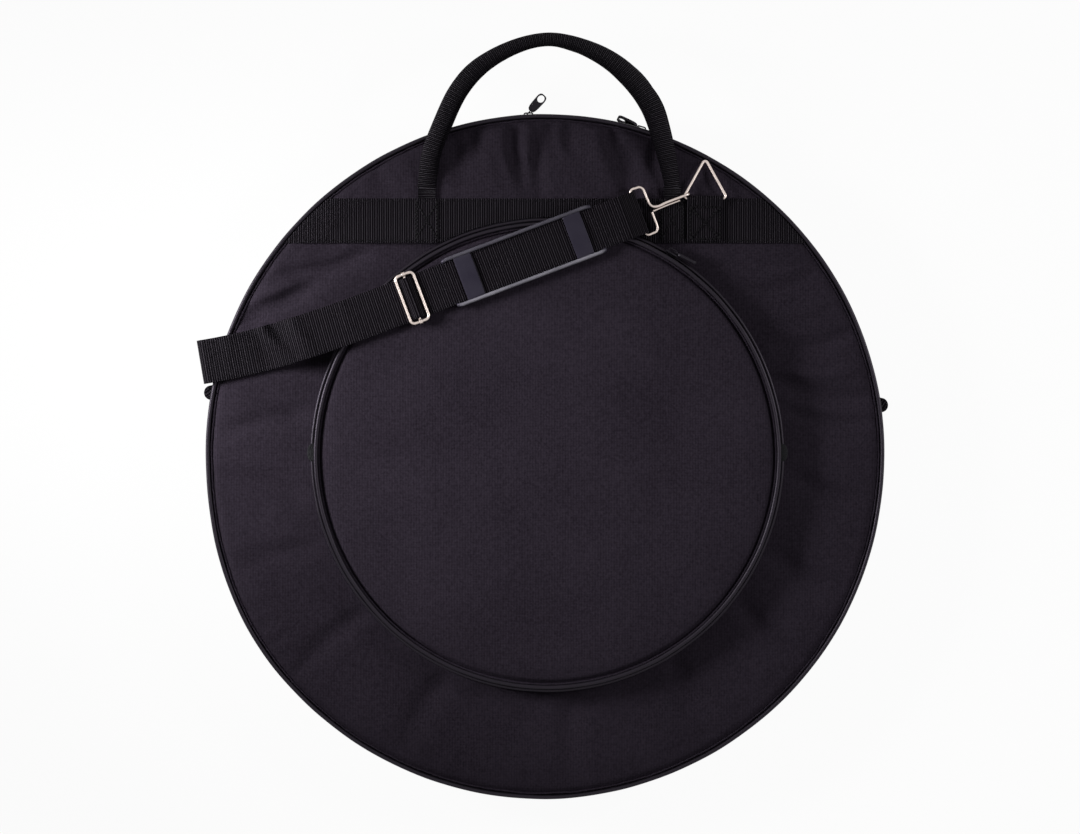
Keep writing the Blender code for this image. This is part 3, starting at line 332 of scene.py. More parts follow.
def back_outside(x, y):
    """Height of the outer cloth: flat on the floor, pressed in over the strap, band and hook."""
    radius = sqrt(x * x + y * y)
    edge = 0.0046 * eased(radius, 0.262, 0.2865) ** 1.5
    inside = 1 - eased(radius, 0.2805, 0.2845)
    strap = 0.0045 * (1 - eased(off_strap(x, y), 0.0207, 0.0262))
    band = eased(y, 0.1680, 0.1730) * (1 - eased(y, 0.2215, 0.2260))
    hook = eased(x, 0.0330, 0.0385) * (1 - eased(x, 0.1360, 0.1400))
    hook *= eased(y, 0.1680, 0.1730) * (1 - eased(y, 0.2560, 0.2605))
    soft = 0.0006 * (1 + uneven(x, y, 22, 3))
    deep = max(strap, 0.0099 * max(band, hook) * (1 if radius < 0.2805 else inside))
    return 0.0003 + max(edge, deep) + soft * (1 - eased(radius, 0.24, 0.28)) * 0.5


seam_start, seam_end = 0.2790, 0.2862


def quilted(x, y):
    """The lining's soft rise and fall between the seams."""
    radius = sqrt(x * x + y * y)
    return (0.5 + 0.5 * uneven(x, y, 18, 9)) * (1 - eased(radius, 0.24, 0.284))


def back_inside(x, y):
    return 0.0143 - 0.0012 * quilted(x, y) - 0.004 * eased(sqrt(x * x + y * y), seam_start, seam_end)


def lined(piece, way):
    """Lets the rim sink, and lines the side that looks up, way 1, or down, way -1."""
    settled(piece)
    finished(piece, flat_cloth, lining)
    for face in piece.data.polygons:
        face.material_index = int(way * face.normal.z > 0.3)


back_rims = [(radius, 0) for radius in spread(0, 0.262, 62) + spread(0.2655, 0.2862, 8)]
back_rims += [(0.2863, 0), (0.2852, 1)]
back_rims += [(radius, 1) for radius in spread(0.2835, 0, 34)]
back_panel = panel("back_panel", back_rims, (back_outside, back_inside), 360)
lined(back_panel, 1)
belongs(back_panel, "shell_cloth", "bag", "back_shell_cloth", "back_foam", "back_lining")


# Front panel: the same cloth, foam and lining, cut round and sewn into the front seam. The flat cloth
# is a little too big for its rim, so it lies in short radial folds under the top edge and in soft
# creases round the pocket. It bends along the line between the two zip ends when the bag opens.

def in_metres(*rows):
    """Rows of sizes that are written in mm."""
    return [[number / 1000 for number in row] for row in rows]


folds = in_metres(
    # x, y of both ends, half width and height, in mm
    (-26.5, 285, -16.5, 228, 6.2, -8.2), (-35, 278, -28, 236, 6, 3.8),
    (-15, 280, -8, 232, 5.5, 3), (-4, 266, -2, 216, 6, -6.2),
    (6.5, 285, 8.5, 254, 5, -5.5), (23.5, 285, 24.5, 256, 6, -6.6),
    (44, 280, 56, 232, 7.5, 4.6), (56, 285, 69, 246, 6.2, -9),
    (69, 252, 83.5, 214, 7.5, -8.4), (96, 266, 99, 224, 7, -4),
    (-60, 283, -57, 256, 7, -6.6), (-45, 276, -44, 234, 7.5, 3.2),
    (-74, 268, -68, 232, 8, -3.4), (-145, 240, -128, 222, 8, -2.2),
    (150, 240, 139, 224, 7, -2), (-250, 118, -186, 158, 8, -6.2),
    (-236, 136, -172, 170, 6.5, 3.6), (-214, 154, -150, 174, 6, -6),
    (-132, 174, -74, 177, 7, -3), (210, 70, 281, 73, 4.2, 2.4),
    (206, 58, 281, 49, 7, -4.8), (214, 34, 278, 29, 6, -3.4),
    (210, 92, 266, 106, 6.4, -3.8), (204, 118, 250, 140, 6, 1.6),
    (186, 140, 236, 158, 6, -3.2), (164, 168, 206, 160, 6, -3),
    (218, -22, 276, -40, 8.5, -3), (200, -90, 256, -118, 9.5, -3.2),
    (172, -134, 222, -178, 8.5, -3.2), (112, -182, 142, -240, 9.5, -3),
    (22, -214, 26, -272, 10, -2.4), (-90, -196, -120, -250, 10, -3),
    (-162, -140, -210, -186, 8.5, -3), (-206, -80, -262, -100, 9, -2.6),
    (-214, -34, -276, -20, 8.5, -3.4), (-212, 34, -274, 18, 7.5, -3.4),
)


def creased(x, y, lines):
    """Sum of the folds: long soft ridges and dents that fade out at both ends."""
    total = 0.0
    for x1, y1, x2, y2, half, height in lines:
        run_x, run_y = x2 - x1, y2 - y1
        length = run_x * run_x + run_y * run_y
        share = ((x - x1) * run_x + (y - y1) * run_y) / length
        if -0.35 < share < 1.35:
            bow = 0.0035 * sin(share * pi)
            apart = ((x - x1) * run_y - (y - y1) * run_x) / sqrt(length) - bow
            if abs(apart) < 3 * half:
                fade = eased(share, -0.35, 0.10) * (1 - eased(share, 0.45, 1.3))
                total += height * fade * exp(-((apart / half) ** 2))
    return total


def down_crown(x, y):
    """0 where the panel is level, and 1 at its rim seam."""
    return max(sqrt(x * x + y * y) - 0.2600, 0) / 0.0264


def front_outside(x, y):
    """Height of the outer cloth, crowned to the rim seam."""
    radius = sqrt(x * x + y * y)
    turn = atan2(y, x)
    pucker = uneven(cos(turn), sin(turn), 26, radius * 18)
    soft = uneven(x, y, 15, 1) + 0.5 * uneven(x, y, 36, 7)
    height = 0.0500 - 0.0038 * down_crown(x, y) ** 2.4 - 0.0018 * eased(radius, 0.2800, 0.2852)
    height += 0.0009 * pucker * eased(radius, 0.245, 0.272) * (1 - eased(radius, 0.2800, 0.2862))
    height -= 0.0007 * (1.2 + soft) * (1 - eased(radius, 0.270, 0.284))
    deepest = 0.0050
    fold = deepest * tanh(creased(x, y, folds) / deepest)
    return height + fold * (1 - eased(radius, seam_start, seam_end))


def front_inside(x, y):
    return 0.0402 + 0.0008 * quilted(y, x) + 0.0035 * eased(sqrt(x * x + y * y), seam_start, 0.2860)


def across_fold(piece, slot, *nodes):
    """Hides the CAD solids that the piece stands for, and bakes its place into its mesh."""
    belongs(piece, slot, None, *nodes)
    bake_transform(piece)


front_rims = [(radius, 0) for radius in spread(0, 0.190, 16) + spread(0.1945, 0.2800, 32)]
front_rims += [(radius, 0) for radius in (0.2818, 0.2834, 0.2848, 0.2860)] + [(0.2855, 1)]
front_rims += [(radius, 1) for radius in spread(0.2830, 0, 30)]
front_panel = panel("front_panel", front_rims, (front_outside, front_inside), 640)
lined(front_panel, -1)
across_fold(front_panel, "shell_cloth", "front_shell_cloth_upper", "front_shell_cloth_lower",
            "front_foam_upper", "front_foam_lower", "front_lining_upper", "front_lining_lower")


# Rim pipings: soft vinyl welts of 3.6 mm over a cord, one in the front seam and one in the back seam,
# each with a narrow flange that is sewn between the panel and the gusset. The vinyl is black with a
# low shine and shows the stitches of its seam beside it.

def vinyl_finish():
    finish = Finish("piping_vinyl", (0.006, 0.005, 0.007), 0.3, Specular_IOR_Level=0.22,
                    Specular_Tint=(0.92, 0.80, 1.0, 1))
    place, _ = finish.axes("Object")
    grain = finish.speckle(place, 1500.0, 2.0)
    rub = finish.speckle(place, 60.0, 3.0)
    return finish.looks(rub, (0.0030, 0.0024, 0.0036), (0.0080, 0.0066, 0.0092), 0.34 + 0.14 * rub,
                        grain * 0.6 + rub, 0.00008, 0.6)


vinyl = vinyl_finish()


def piping(name, radius, height, flange_turn, centre=(0, 0), segments=480):
    """A round welt with a flange on one side, given as an angle from straight out."""
    welt, flange = 0.0018, 0.0032
    lobes = []
    for step in range(17):
        turn = radians(flange_turn + 18 + 324 * step / 16)
        lobes.append((welt * cos(turn), welt * sin(turn)))
    lead = towards(flange_turn).xy
    side = Vector((-lead.y, lead.x)) * 0.0004
    lobes += [tuple(lead * flange - side), tuple(lead * flange + side), lobes[0]]

    def place(turn, station):
        out, up = lobes[round(station)]
        wander = 0.00022 * uneven(cos(turn), sin(turn), 9, height * 40)
        return round_spot(radius + out + wander, turn, height + up + wander, centre)

    made = laid(name, (0, 0), (2 * pi, len(lobes) - 1), (segments, len(lobes) - 1), place)
    joined(closed=True)
    return finished(made, vinyl)


piping_radius = 0.2882
front_piping = piping("front_piping", piping_radius, 0.0464, 222)
settled(front_piping)
across_fold(front_piping, "piping_vinyl", "front_piping_upper", "front_piping_lower")
back_piping = piping("back_piping", piping_radius, 0.0063, 170)
settled(back_piping)
belongs(back_piping, "piping_vinyl", "bag", "back_piping")


# Gusset: a strip of the shell cloth that joins both panels. Below the zip ends it is one plain wall, and
# above them it is two narrow strips with the zip's tapes between them. The cloth swells a little
# between its seams and puckers at them.

wall_cloth = cloth_finish("gusset_cloth", "UV")
gusset_radius = 0.2860
left_end, right_end = pi - asin(0.0515 / gusset_radius), asin(0.0410 / gusset_radius)


def swell(turn, height):
    """How far the wall stands out between its two seams."""
    low, high = 0.0045, 0.0470
    share = (height - low) / (high - low)
    waves = uneven(cos(turn), sin(turn), 14, height * 30)
    pucker = uneven(cos(turn), sin(turn), 60, 4) * (2 * share - 1) ** 2
    return 0.0005 * waves + 0.0005 * pucker - 0.0004


def thick(piece, thickness, offset=0.0):
    return modified(piece, "SOLIDIFY", thickness=thickness, offset=offset)


def soft_edged(piece, width, segments=2, angle=30):
    """Rounds the edges that turn by more than the angle."""
    return modified(piece, "BEVEL", width=width, segments=segments, limit_method="ANGLE",
                    angle_limit=radians(angle))


def wall_piece(name, radius, turns, heights, cells, thickness, material, relief=swell):
    """A strip of the rim's wall between two angles and two heights."""
    def place(length, height):
        turn = length / radius
        return round_spot(radius + relief(turn, height), turn, height)

    low, high = (turns[0] * radius, heights[0]), (turns[1] * radius, heights[1])
    made = laid(name, low, high, cells, place)
    soft_edged(thick(made, thickness, -1.0), thickness * 0.3)
    return finished(made, material)


strip_turns = (right_end + 0.002, left_end - 0.002)
walls = (
    # name, angles, heights and cells
    ("gusset_lower", (left_end, right_end + 2 * pi), (0.0050, 0.0466), (300, 14)),
    ("gusset_strip_back", strip_turns, (0.0050, 0.0168), (240, 5)),
    ("gusset_strip_front", strip_turns, (0.0352, 0.0466), (240, 5)),
)
for name, turns, heights, cells in walls:
    wall = wall_piece(name, gusset_radius, turns, heights, cells, 0.0014, wall_cloth)
    if name == "gusset_lower":
        settled(wall)
    if name == "gusset_strip_front":
        across_fold(wall, "shell_cloth", name)
    else:
        belongs(wall, "shell_cloth", "bag", name)


# Main zip: nylon coil on woven tapes, sewn under the folded edges of the gusset strips. The coil's
# bars are moulded nylon, 1.5 mm apart, and mesh on the middle line. It runs round the upper half, from
# one end tab to the other.

def tape_finish():
    finish = Finish("zip_tape", (0.010, 0.010, 0.012), 0.75, Specular_IOR_Level=0.15)
    place, (across, along, _) = finish.axes("UV")
    twill = (across + along).wave(0.0009)
    ribs = along.wave(0.0022)
    fuzz = finish.speckle(place, 700.0, 2.0)
    return finish.looks(twill * 0.3 + fuzz * 0.7, (0.004, 0.004, 0.005), (0.022, 0.022, 0.025),
                        0.65 + 0.25 * fuzz, twill * 0.4 + ribs * 0.4 + fuzz * 0.5, 0.00025, 0.8)


def nylon_finish():
    finish = Finish("zip_coil", (0.012, 0.012, 0.013), 0.4, Specular_IOR_Level=0.12)
    place, _ = finish.axes("Object")
    wear = finish.speckle(place, 240.0, 3.0)
    return finish.looks(wear, (0.004, 0.004, 0.005), (0.016, 0.015, 0.018), 0.35 + 0.3 * wear,
                        wear, 0.0001, 0.5)


zip_tape, zip_nylon = tape_finish(), nylon_finish()
zip_middle = 0.0260


def placed(name, data):
    """A new object with this data, linked into the scene."""
    made = bpy.data.objects.new(name, data)
    bpy.context.scene.collection.objects.link(made)
    return made


def coil(name, radius, height, reach, turns, side, centre=(0, 0), lean=0.0):
    """One half of a closed zip: a bar with round ends, repeated round the rim by its own pitch."""
    pitch = 0.0015 / radius
    start = turns[0] + pitch * (1 + side) / 4
    alone()
    bpy.ops.mesh.primitive_cylinder_add(vertices=8, radius=0.00042, depth=reach, end_fill_type="NGON")
    bar = bpy.context.object
    bar.name = name
    for vertex in bar.data.vertices:
        vertex.co.x *= 1.35
    soft_edged(bar, 0.00028, angle=60)
    tilt = Matrix.Rotation(lean, 4, "Y") @ Matrix.Translation((0, 0, side * (reach / 2 - 0.0003)))
    bar.data.transform(Matrix.Rotation(start, 4, "Z") @ Matrix.Translation((radius, 0, 0)) @ tilt)
    spot = Matrix.Translation((*centre, height))
    bar.matrix_world = spot
    pivot = placed(name + "_pitch", None)
    pivot.matrix_world = spot @ Matrix.Rotation(pitch, 4, "Z")
    bpy.context.view_layer.update()
    count = int((turns[1] - turns[0]) / pitch)
    modified(bar, "ARRAY", count=count, use_relative_offset=False, use_object_offset=True,
             offset_object=pivot)
    bpy.data.objects.remove(pivot)
    bar.data.transform(bar.matrix_world)
    bar.matrix_world = Matrix()
    return finished(bar, zip_nylon)


def flat_swell(turn, height):
    return 0.00012 * uneven(cos(turn), sin(turn), 30, height * 60)


for name, side in (("back", -1), ("front", 1)):
    heights = sorted((zip_middle + side * 0.0006, zip_middle + side * 0.0110))
    tape = wall_piece("zip_tape_" + name, gusset_radius + 0.0001, strip_turns, heights, (240, 4), 0.0008,
                      zip_tape, flat_swell)
    teeth = coil("zip_coil_" + name, 0.28695, zip_middle, 0.0026, strip_turns, side)
    for node, piece in (("zip_tape_" + name, tape), ("zip_coil_" + name, teeth)):
        if side > 0:
            across_fold(piece, "zip_nylon", node)
        else:
            belongs(piece, "zip_nylon", "bag", node)


# End tabs of the main zip: short pieces of 24 mm webbing, folded outwards over each end of the zip and
# sewn through. Webbing here is black polypropylene, ribbed across every 1.95 mm.

def webbing_finish(name, pitch, dark, light, girth=None):
    """Ribbed webbing on UV, ribs across it. On a grip of some girth, light is painted on its upper outer
    side and shade on its inner side.
    """
    finish = Finish(name, dark, 0.6, Specular_IOR_Level=0.03, Specular_Tint=(0.95, 0.80, 1.0, 1))
    place, (across, along, _) = finish.axes("UV")
    rib = along.wave(pitch) * 0.5 + 0.5
    pair = (along + pitch / 4).wave(2 * pitch) * 0.5 + 0.5
    yarn = across.wave(pitch * 0.62) * (along + pitch / 4).wave(2 * pitch)
    fuzz = finish.speckle(place, 1100.0, 2.0)
    worn = finish.speckle(place, 30.0, 3.0)
    height = rib**1.4 + yarn * 0.16 + fuzz * 0.25
    shade = rib**5 * (0.42 + 0.45 * pair + 0.35 * worn) + yarn * 0.03 + fuzz * 0.3 - 0.15
    if girth:
        # Painted light and shade round the grip: lighter on its upper outer side, darker on its inner
        # side.
        outer = (across + 0.13 * girth).wave(girth) * 0.5 + 0.5
        shade = shade * (0.05 + 1.1 * outer**2)
    return finish.looks(shade, dark, light, 0.50 + 0.30 * fuzz, height, 0.00055, 0.9)


webbing = webbing_finish("webbing", 0.00195, (0.0010, 0.0008, 0.0013), (0.046, 0.041, 0.049))


def folded_tab(name, turn, radius, reach, width, length, height, centre=(0, 0), look=None):
    """Webbing folded flat and sewn to a firm round-nosed tab, which stands out from the wall."""
    lead = round_spot(1, turn, 0)
    side = Vector((-lead.y, lead.x, 0))
    foot = Vector((*centre, 0)) + lead * radius
    nose = [radians(angle) for angle in spread(-90, 90, 17)]
    shape = [(reach * cos(angle) ** 0.62, length / 2 * sin(angle)) for angle in nose]
    shape += [(-0.0012, length / 2), (-0.0012, -length / 2), shape[0]]

    def place(rise, station):
        out, over = shape[round(station)]
        return foot + lead * out + side * over + Vector((0, 0, height + rise))

    last = len(shape) - 1
    made = laid(name, (-width / 2, 0), (width / 2, last), (8, last), place)
    for loop in made.data.uv_layers.active.data:
        loop.uv = (loop.uv.x, loop.uv.y * length / 16)
    joined(closed=True)
    soft_edged(made, 0.0009, 3, 60)
    finished(made, look or webbing)
    belongs(made, "webbing", "bag", name)


for name, turn in (("left", left_end), ("right", right_end)):
    folded_tab("zip_end_tab_" + name, turn, 0.2868, 0.0100, 0.0240, 0.0130, zip_middle)


# Pocket: a round outside pocket on the front, its side wall and its face of the shell cloth with thin
# foam, piped where the face meets the side and where the side meets the front panel. The side leans in
# a little. The upper half of the side holds the pocket's zip.

pocket_centre = (0.0020, -0.0010)
pocket_low, pocket_high = 0.0503, 0.0660
pocket_lean_in = 0.0044


def pocket_side_radius(height):
    return 0.1989 - pocket_lean_in * (height - pocket_low) / (pocket_high - pocket_low)


pocket_folds = in_metres(
    (-60, 60, 60, 30, 50, -0.8), (120, -20, 100, 80, 30, -0.7),
    (-150, -20, -110, -120, 28, -0.6), (-20, -140, 90, -120, 30, -0.7),
    (-110, -50, -140, 40, 12, -0.5),
)


def pocket_outside(x, y):
    """The pocket's face: flat foam with a soft hand-filled look and a crowned edge."""
    radius = sqrt((x - pocket_centre[0]) ** 2 + (y - pocket_centre[1]) ** 2)
    soft = uneven(x, y, 13, 5) + 0.4 * uneven(x, y, 34, 6)
    edge = max(radius - 0.176, 0) / 0.0186
    height = 0.0664 - 0.0005 * (1.3 + soft) - 0.0018 * edge**2.2
    return height + creased(x, y, pocket_folds) - 0.0024 * eased(radius, 0.1896, 0.1938)


face_rims = [(radius, 0) for radius in spread(0, 0.176, 40) + spread(0.1780, 0.1946, 15)] + [(0.1940, 1)]
face_rims += [(radius, 1) for radius in spread(0.1900, 0, 16)]
pocket_face = panel("pocket_face", face_rims, (pocket_outside, lambda x, y: 0.0618), 320, pocket_centre)
finished(pocket_face, flat_cloth)
across_fold(pocket_face, "shell_cloth", "pocket_face_cloth_upper", "pocket_face_cloth_lower",
            "pocket_face_foam_upper", "pocket_face_foam_lower")
pocket_mean_radius, pocket_zip_radius = 0.1967, 0.1972


def pocket_wall_spot(length, height):
    turn = length / pocket_mean_radius
    waves = uneven(cos(turn), sin(turn), 16, height * 60)
    seams = sin(pi * (height - pocket_low) / (pocket_high - pocket_low))
    radius = pocket_side_radius(height) - 0.0009 * (0.6 + waves) * max(seams, 0)
    return round_spot(radius, turn, height, pocket_centre)


pocket_side = laid("pocket_side", (0, pocket_low), (2 * pi * pocket_mean_radius, 0.0650), (320, 10),
                   pocket_wall_spot)
joined()
thick(pocket_side, 0.0012, -1.0)
finished(pocket_side, wall_cloth)
across_fold(pocket_side, "shell_cloth", "pocket_side_upper", "pocket_side_lower")

for name, radius, height in (("face", 0.1968, 0.0655), ("base", 0.2004, 0.0526)):
    name = "pocket_piping_" + name
    welt = piping(name, radius, height, 238, pocket_centre, 360)
    across_fold(welt, "piping_vinyl", name + "_upper", name + "_lower")

pocket_zip_middle = 0.05857
pocket_lean = -atan2(pocket_lean_in, pocket_high - pocket_low)


def pocket_zip_spot(length, rise):
    """A point on the zip's tapes, on the leaning side of the pocket."""
    height = pocket_zip_middle + rise
    radius = pocket_side_radius(height) + 0.0006
    return round_spot(radius, length / pocket_zip_radius, height, pocket_centre)


zip_turns = (radians(3.5), radians(176.5))
for name, side in (("low", -1), ("high", 1)):
    rises = sorted((side * 0.0005, side * 0.0036))
    low, high = [(turn * pocket_zip_radius, rise) for turn, rise in zip(zip_turns, rises)]
    tape = laid("pocket_zip_tape_" + name, low, high, (200, 3), pocket_zip_spot)
    finished(thick(tape, 0.0007), zip_tape)
    teeth = coil("pocket_zip_coil_" + name, pocket_side_radius(pocket_zip_middle) + 0.0013,
                 pocket_zip_middle, 0.0022, zip_turns, side, pocket_centre, pocket_lean)
    for piece in (tape, teeth):
        across_fold(piece, "zip_nylon", "pocket_zip")

for name, turn in (("left", pi - radians(0.8)), ("right", radians(0.8))):
    folded_tab("pocket_end_tab_" + name, turn, 0.1985, 0.0058, 0.0078, 0.0150, pocket_zip_middle,
               pocket_centre, zip_tape)


# Bands: 38 mm webbing sewn flat across both panels, its ends caught in the rim seam and its lower
# edge running in under the pocket. In front it holds the handle's tails, over which it rises, and it
# is sewn down with thread of its own colour along both edges.

band_low, band_high = 0.1800, 0.2180
tail_places = (-0.1007, 0.1083)


def thread_finish():
    finish = Finish("thread", (0.004, 0.004, 0.005), 0.6, Specular_IOR_Level=0.05)
    place, _ = finish.axes("Object")
    twist = finish.speckle(place, 2400.0, 2.0)
    return finish.looks(twist, (0.0012, 0.0010, 0.0014), (0.0110, 0.0100, 0.0120), 0.4 + 0.3 * twist,
                        twist, 0.0001, 0.6)


thread = thread_finish()


def stitched(name, lines, surface, gap=0.0007, half=0.00062):
    """Rows of stitches along lines of (x, y) points: one stitch, modelled once and copied."""
    pitch = 0.0032
    alone()
    bpy.ops.mesh.primitive_uv_sphere_add(segments=6, ring_count=4, radius=half)
    seed = bpy.context.object
    stitch = [vertex.co.copy() for vertex in seed.data.vertices]
    faces = [tuple(face.vertices) for face in seed.data.polygons]
    bpy.data.objects.remove(seed)
    points, shapes = [], []
    for line in lines:
        for start, end in zip(line, line[1:]):
            one, two = Vector(start), Vector(end)
            lead = (two - one).normalized()
            count = max(1, round((two - one).length / pitch))
            long = ((two - one).length / count - gap) / 2
            for step in range(count):
                middle = one.lerp(two, (step + 0.5) / count)
                spot = Vector((*middle, surface(*middle)))
                ahead, behind = middle + lead * long, middle - lead * long
                rise = surface(*ahead) - surface(*behind)
                along = Vector((*(ahead - behind), rise)).normalized()
                side = Vector((-lead.y, lead.x, 0))
                up = along.cross(side) * -1
                base = len(points)
                for co in stitch:
                    points.append(spot + along * (co.z / half * long) + side * co.x + up * co.y)
                shapes += [tuple(base + index for index in face) for face in faces]
    mesh = bpy.data.meshes.new(name)
    mesh.from_pydata([tuple(point) for point in points], [], shapes)
    made = placed(name, mesh)
    alone(made)
    in_edit((bpy.ops.mesh.normals_make_consistent, {"inside": False}))
    finished(made, thread)
    belongs(made, "webbing", "front_flap")


def band_foot(x):
    """The band's lower edge, cut back round the pocket's base piping."""
    reach = 0.2026**2 - (x - pocket_centre[0]) ** 2
    return max(band_low, pocket_centre[1] + sqrt(reach)) if reach > 0 else band_low


def band_top_level(x, y):
    """Height of the middle of the front band."""
    rise = 0.0
    for place in tail_places:
        rise = max(rise, 1 - eased(abs(x - place), 0.0078, 0.0120))
    rise *= 1 - 0.3 * eased(y, 0.222, 0.214)
    return 0.0510 + 0.0016 * rise - 0.0036 * down_crown(x, y) ** 2.4


def front_band_spot(length, share):
    foot = band_foot(length)
    y = foot + (band_high - foot) * share
    reach = sqrt(0.2858**2 - y * y)
    x = min(max(length, -reach), reach)
    return Vector((x, y, band_top_level(x, y)))


def back_band_spot(x, y):
    reach = sqrt(0.2740**2 - y * y)
    return Vector((min(max(x, -reach), reach), y, 0.0086))


def ribs_upright(piece):
    """Lays the UV by place, so that each rib runs along y and they repeat along x."""
    uv = piece.data.uv_layers.active.data
    for loop in piece.data.loops:
        spot = piece.data.vertices[loop.vertex_index].co
        uv[loop.index].uv = (spot.y, spot.x)


bands = (
    # name, lowest and highest corner, cells, place and body
    ("front_band", (-0.2220, 0), (0.2220, 1), (356, 16), front_band_spot, "front_flap"),
    ("back_band", (-0.2070, band_low), (0.2070, band_high), (220, 10), back_band_spot, "bag"),
)
for name, low, high, cells, place, body in bands:
    band = laid(name, low, high, cells, place)
    ribs_upright(band)
    in_edit((bpy.ops.mesh.remove_doubles, {"threshold": 0.00001}))
    thick(band, 0.0013)
    if name == "front_band":
        soft_edged(band, 0.0003)
    finished(band, webbing)
    belongs(band, "webbing", body, name)


def on_band(x, y):
    return band_top_level(x, y) + 0.0005


def row(y, start, end):
    return [(x, y) for x in spread(start, end, int(abs(end - start) / 0.012) + 2)]


upper_row, lower_row = 0.2158, 0.1822
edge_rows = [row(upper_row, -0.176, 0.176)]
edge_rows += [row(lower_row, -0.206, -0.092), row(lower_row, 0.096, 0.206)]
stitched("band_stitches", edge_rows, on_band)
tail_boxes = []
for place in tail_places:
    left, right = place - 0.0088, place + 0.0088
    low, cross_high = band_foot(place) + 0.003, upper_row - 0.001
    tail_boxes += [[(left, low), (left, upper_row)], [(right, low), (right, upper_row)]]
    tail_boxes += [[(left, low + 0.001), (right, cross_high)], [(right, low + 0.001), (left, cross_high)]]
box_gap, box_half = 0.0003, 0.0011
stitched("handle_tail_stitches", tail_boxes, on_band, box_gap, box_half)


# Ring tabs: webbing folded over the base of each triangle ring and sewn on the band with a box and a
# cross. The tab in front lies on the band's upper side, and the one behind is the same, turned over.

def tab_path(bar_y, bar_z, up):
    """Points (y, z) of the tab: out under the ring's base, round it, and back over itself."""
    turn, step = 0.00195, 0.0012
    low = bar_z - up * turn
    flat = low - up * 0.0003
    points = [(0.1812, flat)] + [(y, flat) for y in spread(0.187, bar_y - 0.008, 6)]
    for share in spread(0, 1, 11):
        angle = radians(-90 + 180 * share)
        points.append((bar_y + turn * cos(angle), bar_z + up * turn * sin(angle)))
    points += [(bar_y - 0.0022, bar_z + up * 0.0014), (bar_y - 0.0045, flat + up * (step + 0.0008))]
    return points + [(y, flat + up * step) for y in spread(bar_y - 0.0080, 0.1812, 7)]


def ribbon(name, spine, width, thickness, cells, sag=None, material=webbing):
    """Webbing along a spine of (point, sideways direction), its UV in metres."""
    lengths, last = lengths_along([point for point, _ in spine]), len(spine) - 1

    def place(across, station):
        index = min(int(station), last - 1)
        share = station - index
        point = spine[index][0].lerp(spine[index + 1][0], share)
        side = spine[index][1].lerp(spine[index + 1][1], share)
        spot = point + side * across
        return spot + Vector((0, 0, sag(spot))) if sag else spot

    made = laid(name, (-width / 2, 0), (width / 2, last), (cells, last), place)
    for loop in made.data.uv_layers.active.data:
        loop.uv = (loop.uv.x, lengths[round(loop.uv.y)])
    soft_edged(thick(made, thickness), thickness * 0.28, angle=50)
    return finished(made, material)


across_x = Vector((1, 0, 0))
rings = (
    # name, x, height of the ring's base and of its tip, which way up it is, and the body that holds it
    ("front", 0.1362, 0.0545, 0.0514, 1, "front_flap"),
    ("back", 0.1120, 0.0051, 0.0082, -1, "bag"),
)
for name, ring_x, bar_z, _, up, body in rings:
    spine = [(Vector((ring_x, y, z)), across_x) for y, z in tab_path(0.2178, bar_z, up)]
    tab = ribbon(name + "_ring_tab", spine, 0.0312, 0.0011, 24)
    ribs_upright(tab)
    belongs(tab, "webbing", body, name + "_ring_tab")


def on_tab(x, y):
    return 0.0543 + 0.0012 * eased(y, 0.209, 0.216)


left, right, low, high = 0.1236, 0.1488, 0.1835, 0.2105
cross = [[(left, low), (right, low), (right, high), (left, high), (left, low)]]
cross += [[(left, low), (right, high)], [(left, high), (right, low)]]
stitched("ring_tab_stitches", cross, on_tab, box_gap, box_half)


# Metal wires: the triangle rings, the strap's two hooks with their spring gates and the adjuster's frame
# are bent from round wire and plated in a warm nickel, with fine draw lines and small scratches.

def nickel_finish():
    finish = Finish("nickel_wire", (0.66, 0.58, 0.54), 0.3, Metallic=1.0)
    place, _ = finish.axes("Object")
    haze = finish.speckle(place, 60.0, 3.0)
    scratch = finish.speckle(place, 1100.0, 2.0)
    return finish.looks(haze * 0.7 + scratch * 0.3, (0.48, 0.405, 0.37), (0.68, 0.59, 0.55),
                        0.26 + 0.10 * haze + 0.06 * scratch, haze, 0.00001, 0.3)


nickel = nickel_finish()


def wire(name, points, radius, world, closed=False, smooth=False, look=nickel):
    """A bent round wire, drawn as a curve through points set in the world and then made a mesh."""
    data = bpy.data.curves.new(name, "CURVE")
    data.dimensions = "3D"
    data.bevel_depth = radius
    data.bevel_resolution = 5
    data.use_fill_caps = True
    data.resolution_u = 10
    spline = data.splines.new("BEZIER" if smooth else "POLY")
    knots = spline.bezier_points if smooth else spline.points
    knots.add(len(points) - 1)
    for knot, point in zip(knots, points):
        spot = world @ Vector(point).to_3d()
        if smooth:
            knot.co = spot
            knot.handle_left_type = knot.handle_right_type = "AUTO"
        else:
            knot.co = (*spot, 1)
    spline.use_cyclic_u = closed
    alone(placed(name, data))
    bpy.ops.object.convert(target="MESH")
    joined(0.000001)
    return finished(bpy.context.object, look)


def rounded(corners, radius, steps=8):
    """A closed outline with round corners, in its own plane."""
    points = []
    for index, corner in enumerate(corners):
        before = (corners[index - 1] - corner).normalized()
        after = (corners[(index + 1) % len(corners)] - corner).normalized()
        half = before.angle(after) / 2
        centre = corner + (before + after).normalized() * radius / sin(half)
        first = corner + before * radius * cos(half) / sin(half)
        start = atan2(*(first - centre).yx)
        turn = (pi - 2 * half) * (1 if before.cross(after) < 0 else -1)
        angles = [start + turn * step / steps for step in range(steps + 1)]
        points += [centre + Vector((cos(angle), sin(angle))) * radius for angle in angles]
    return points


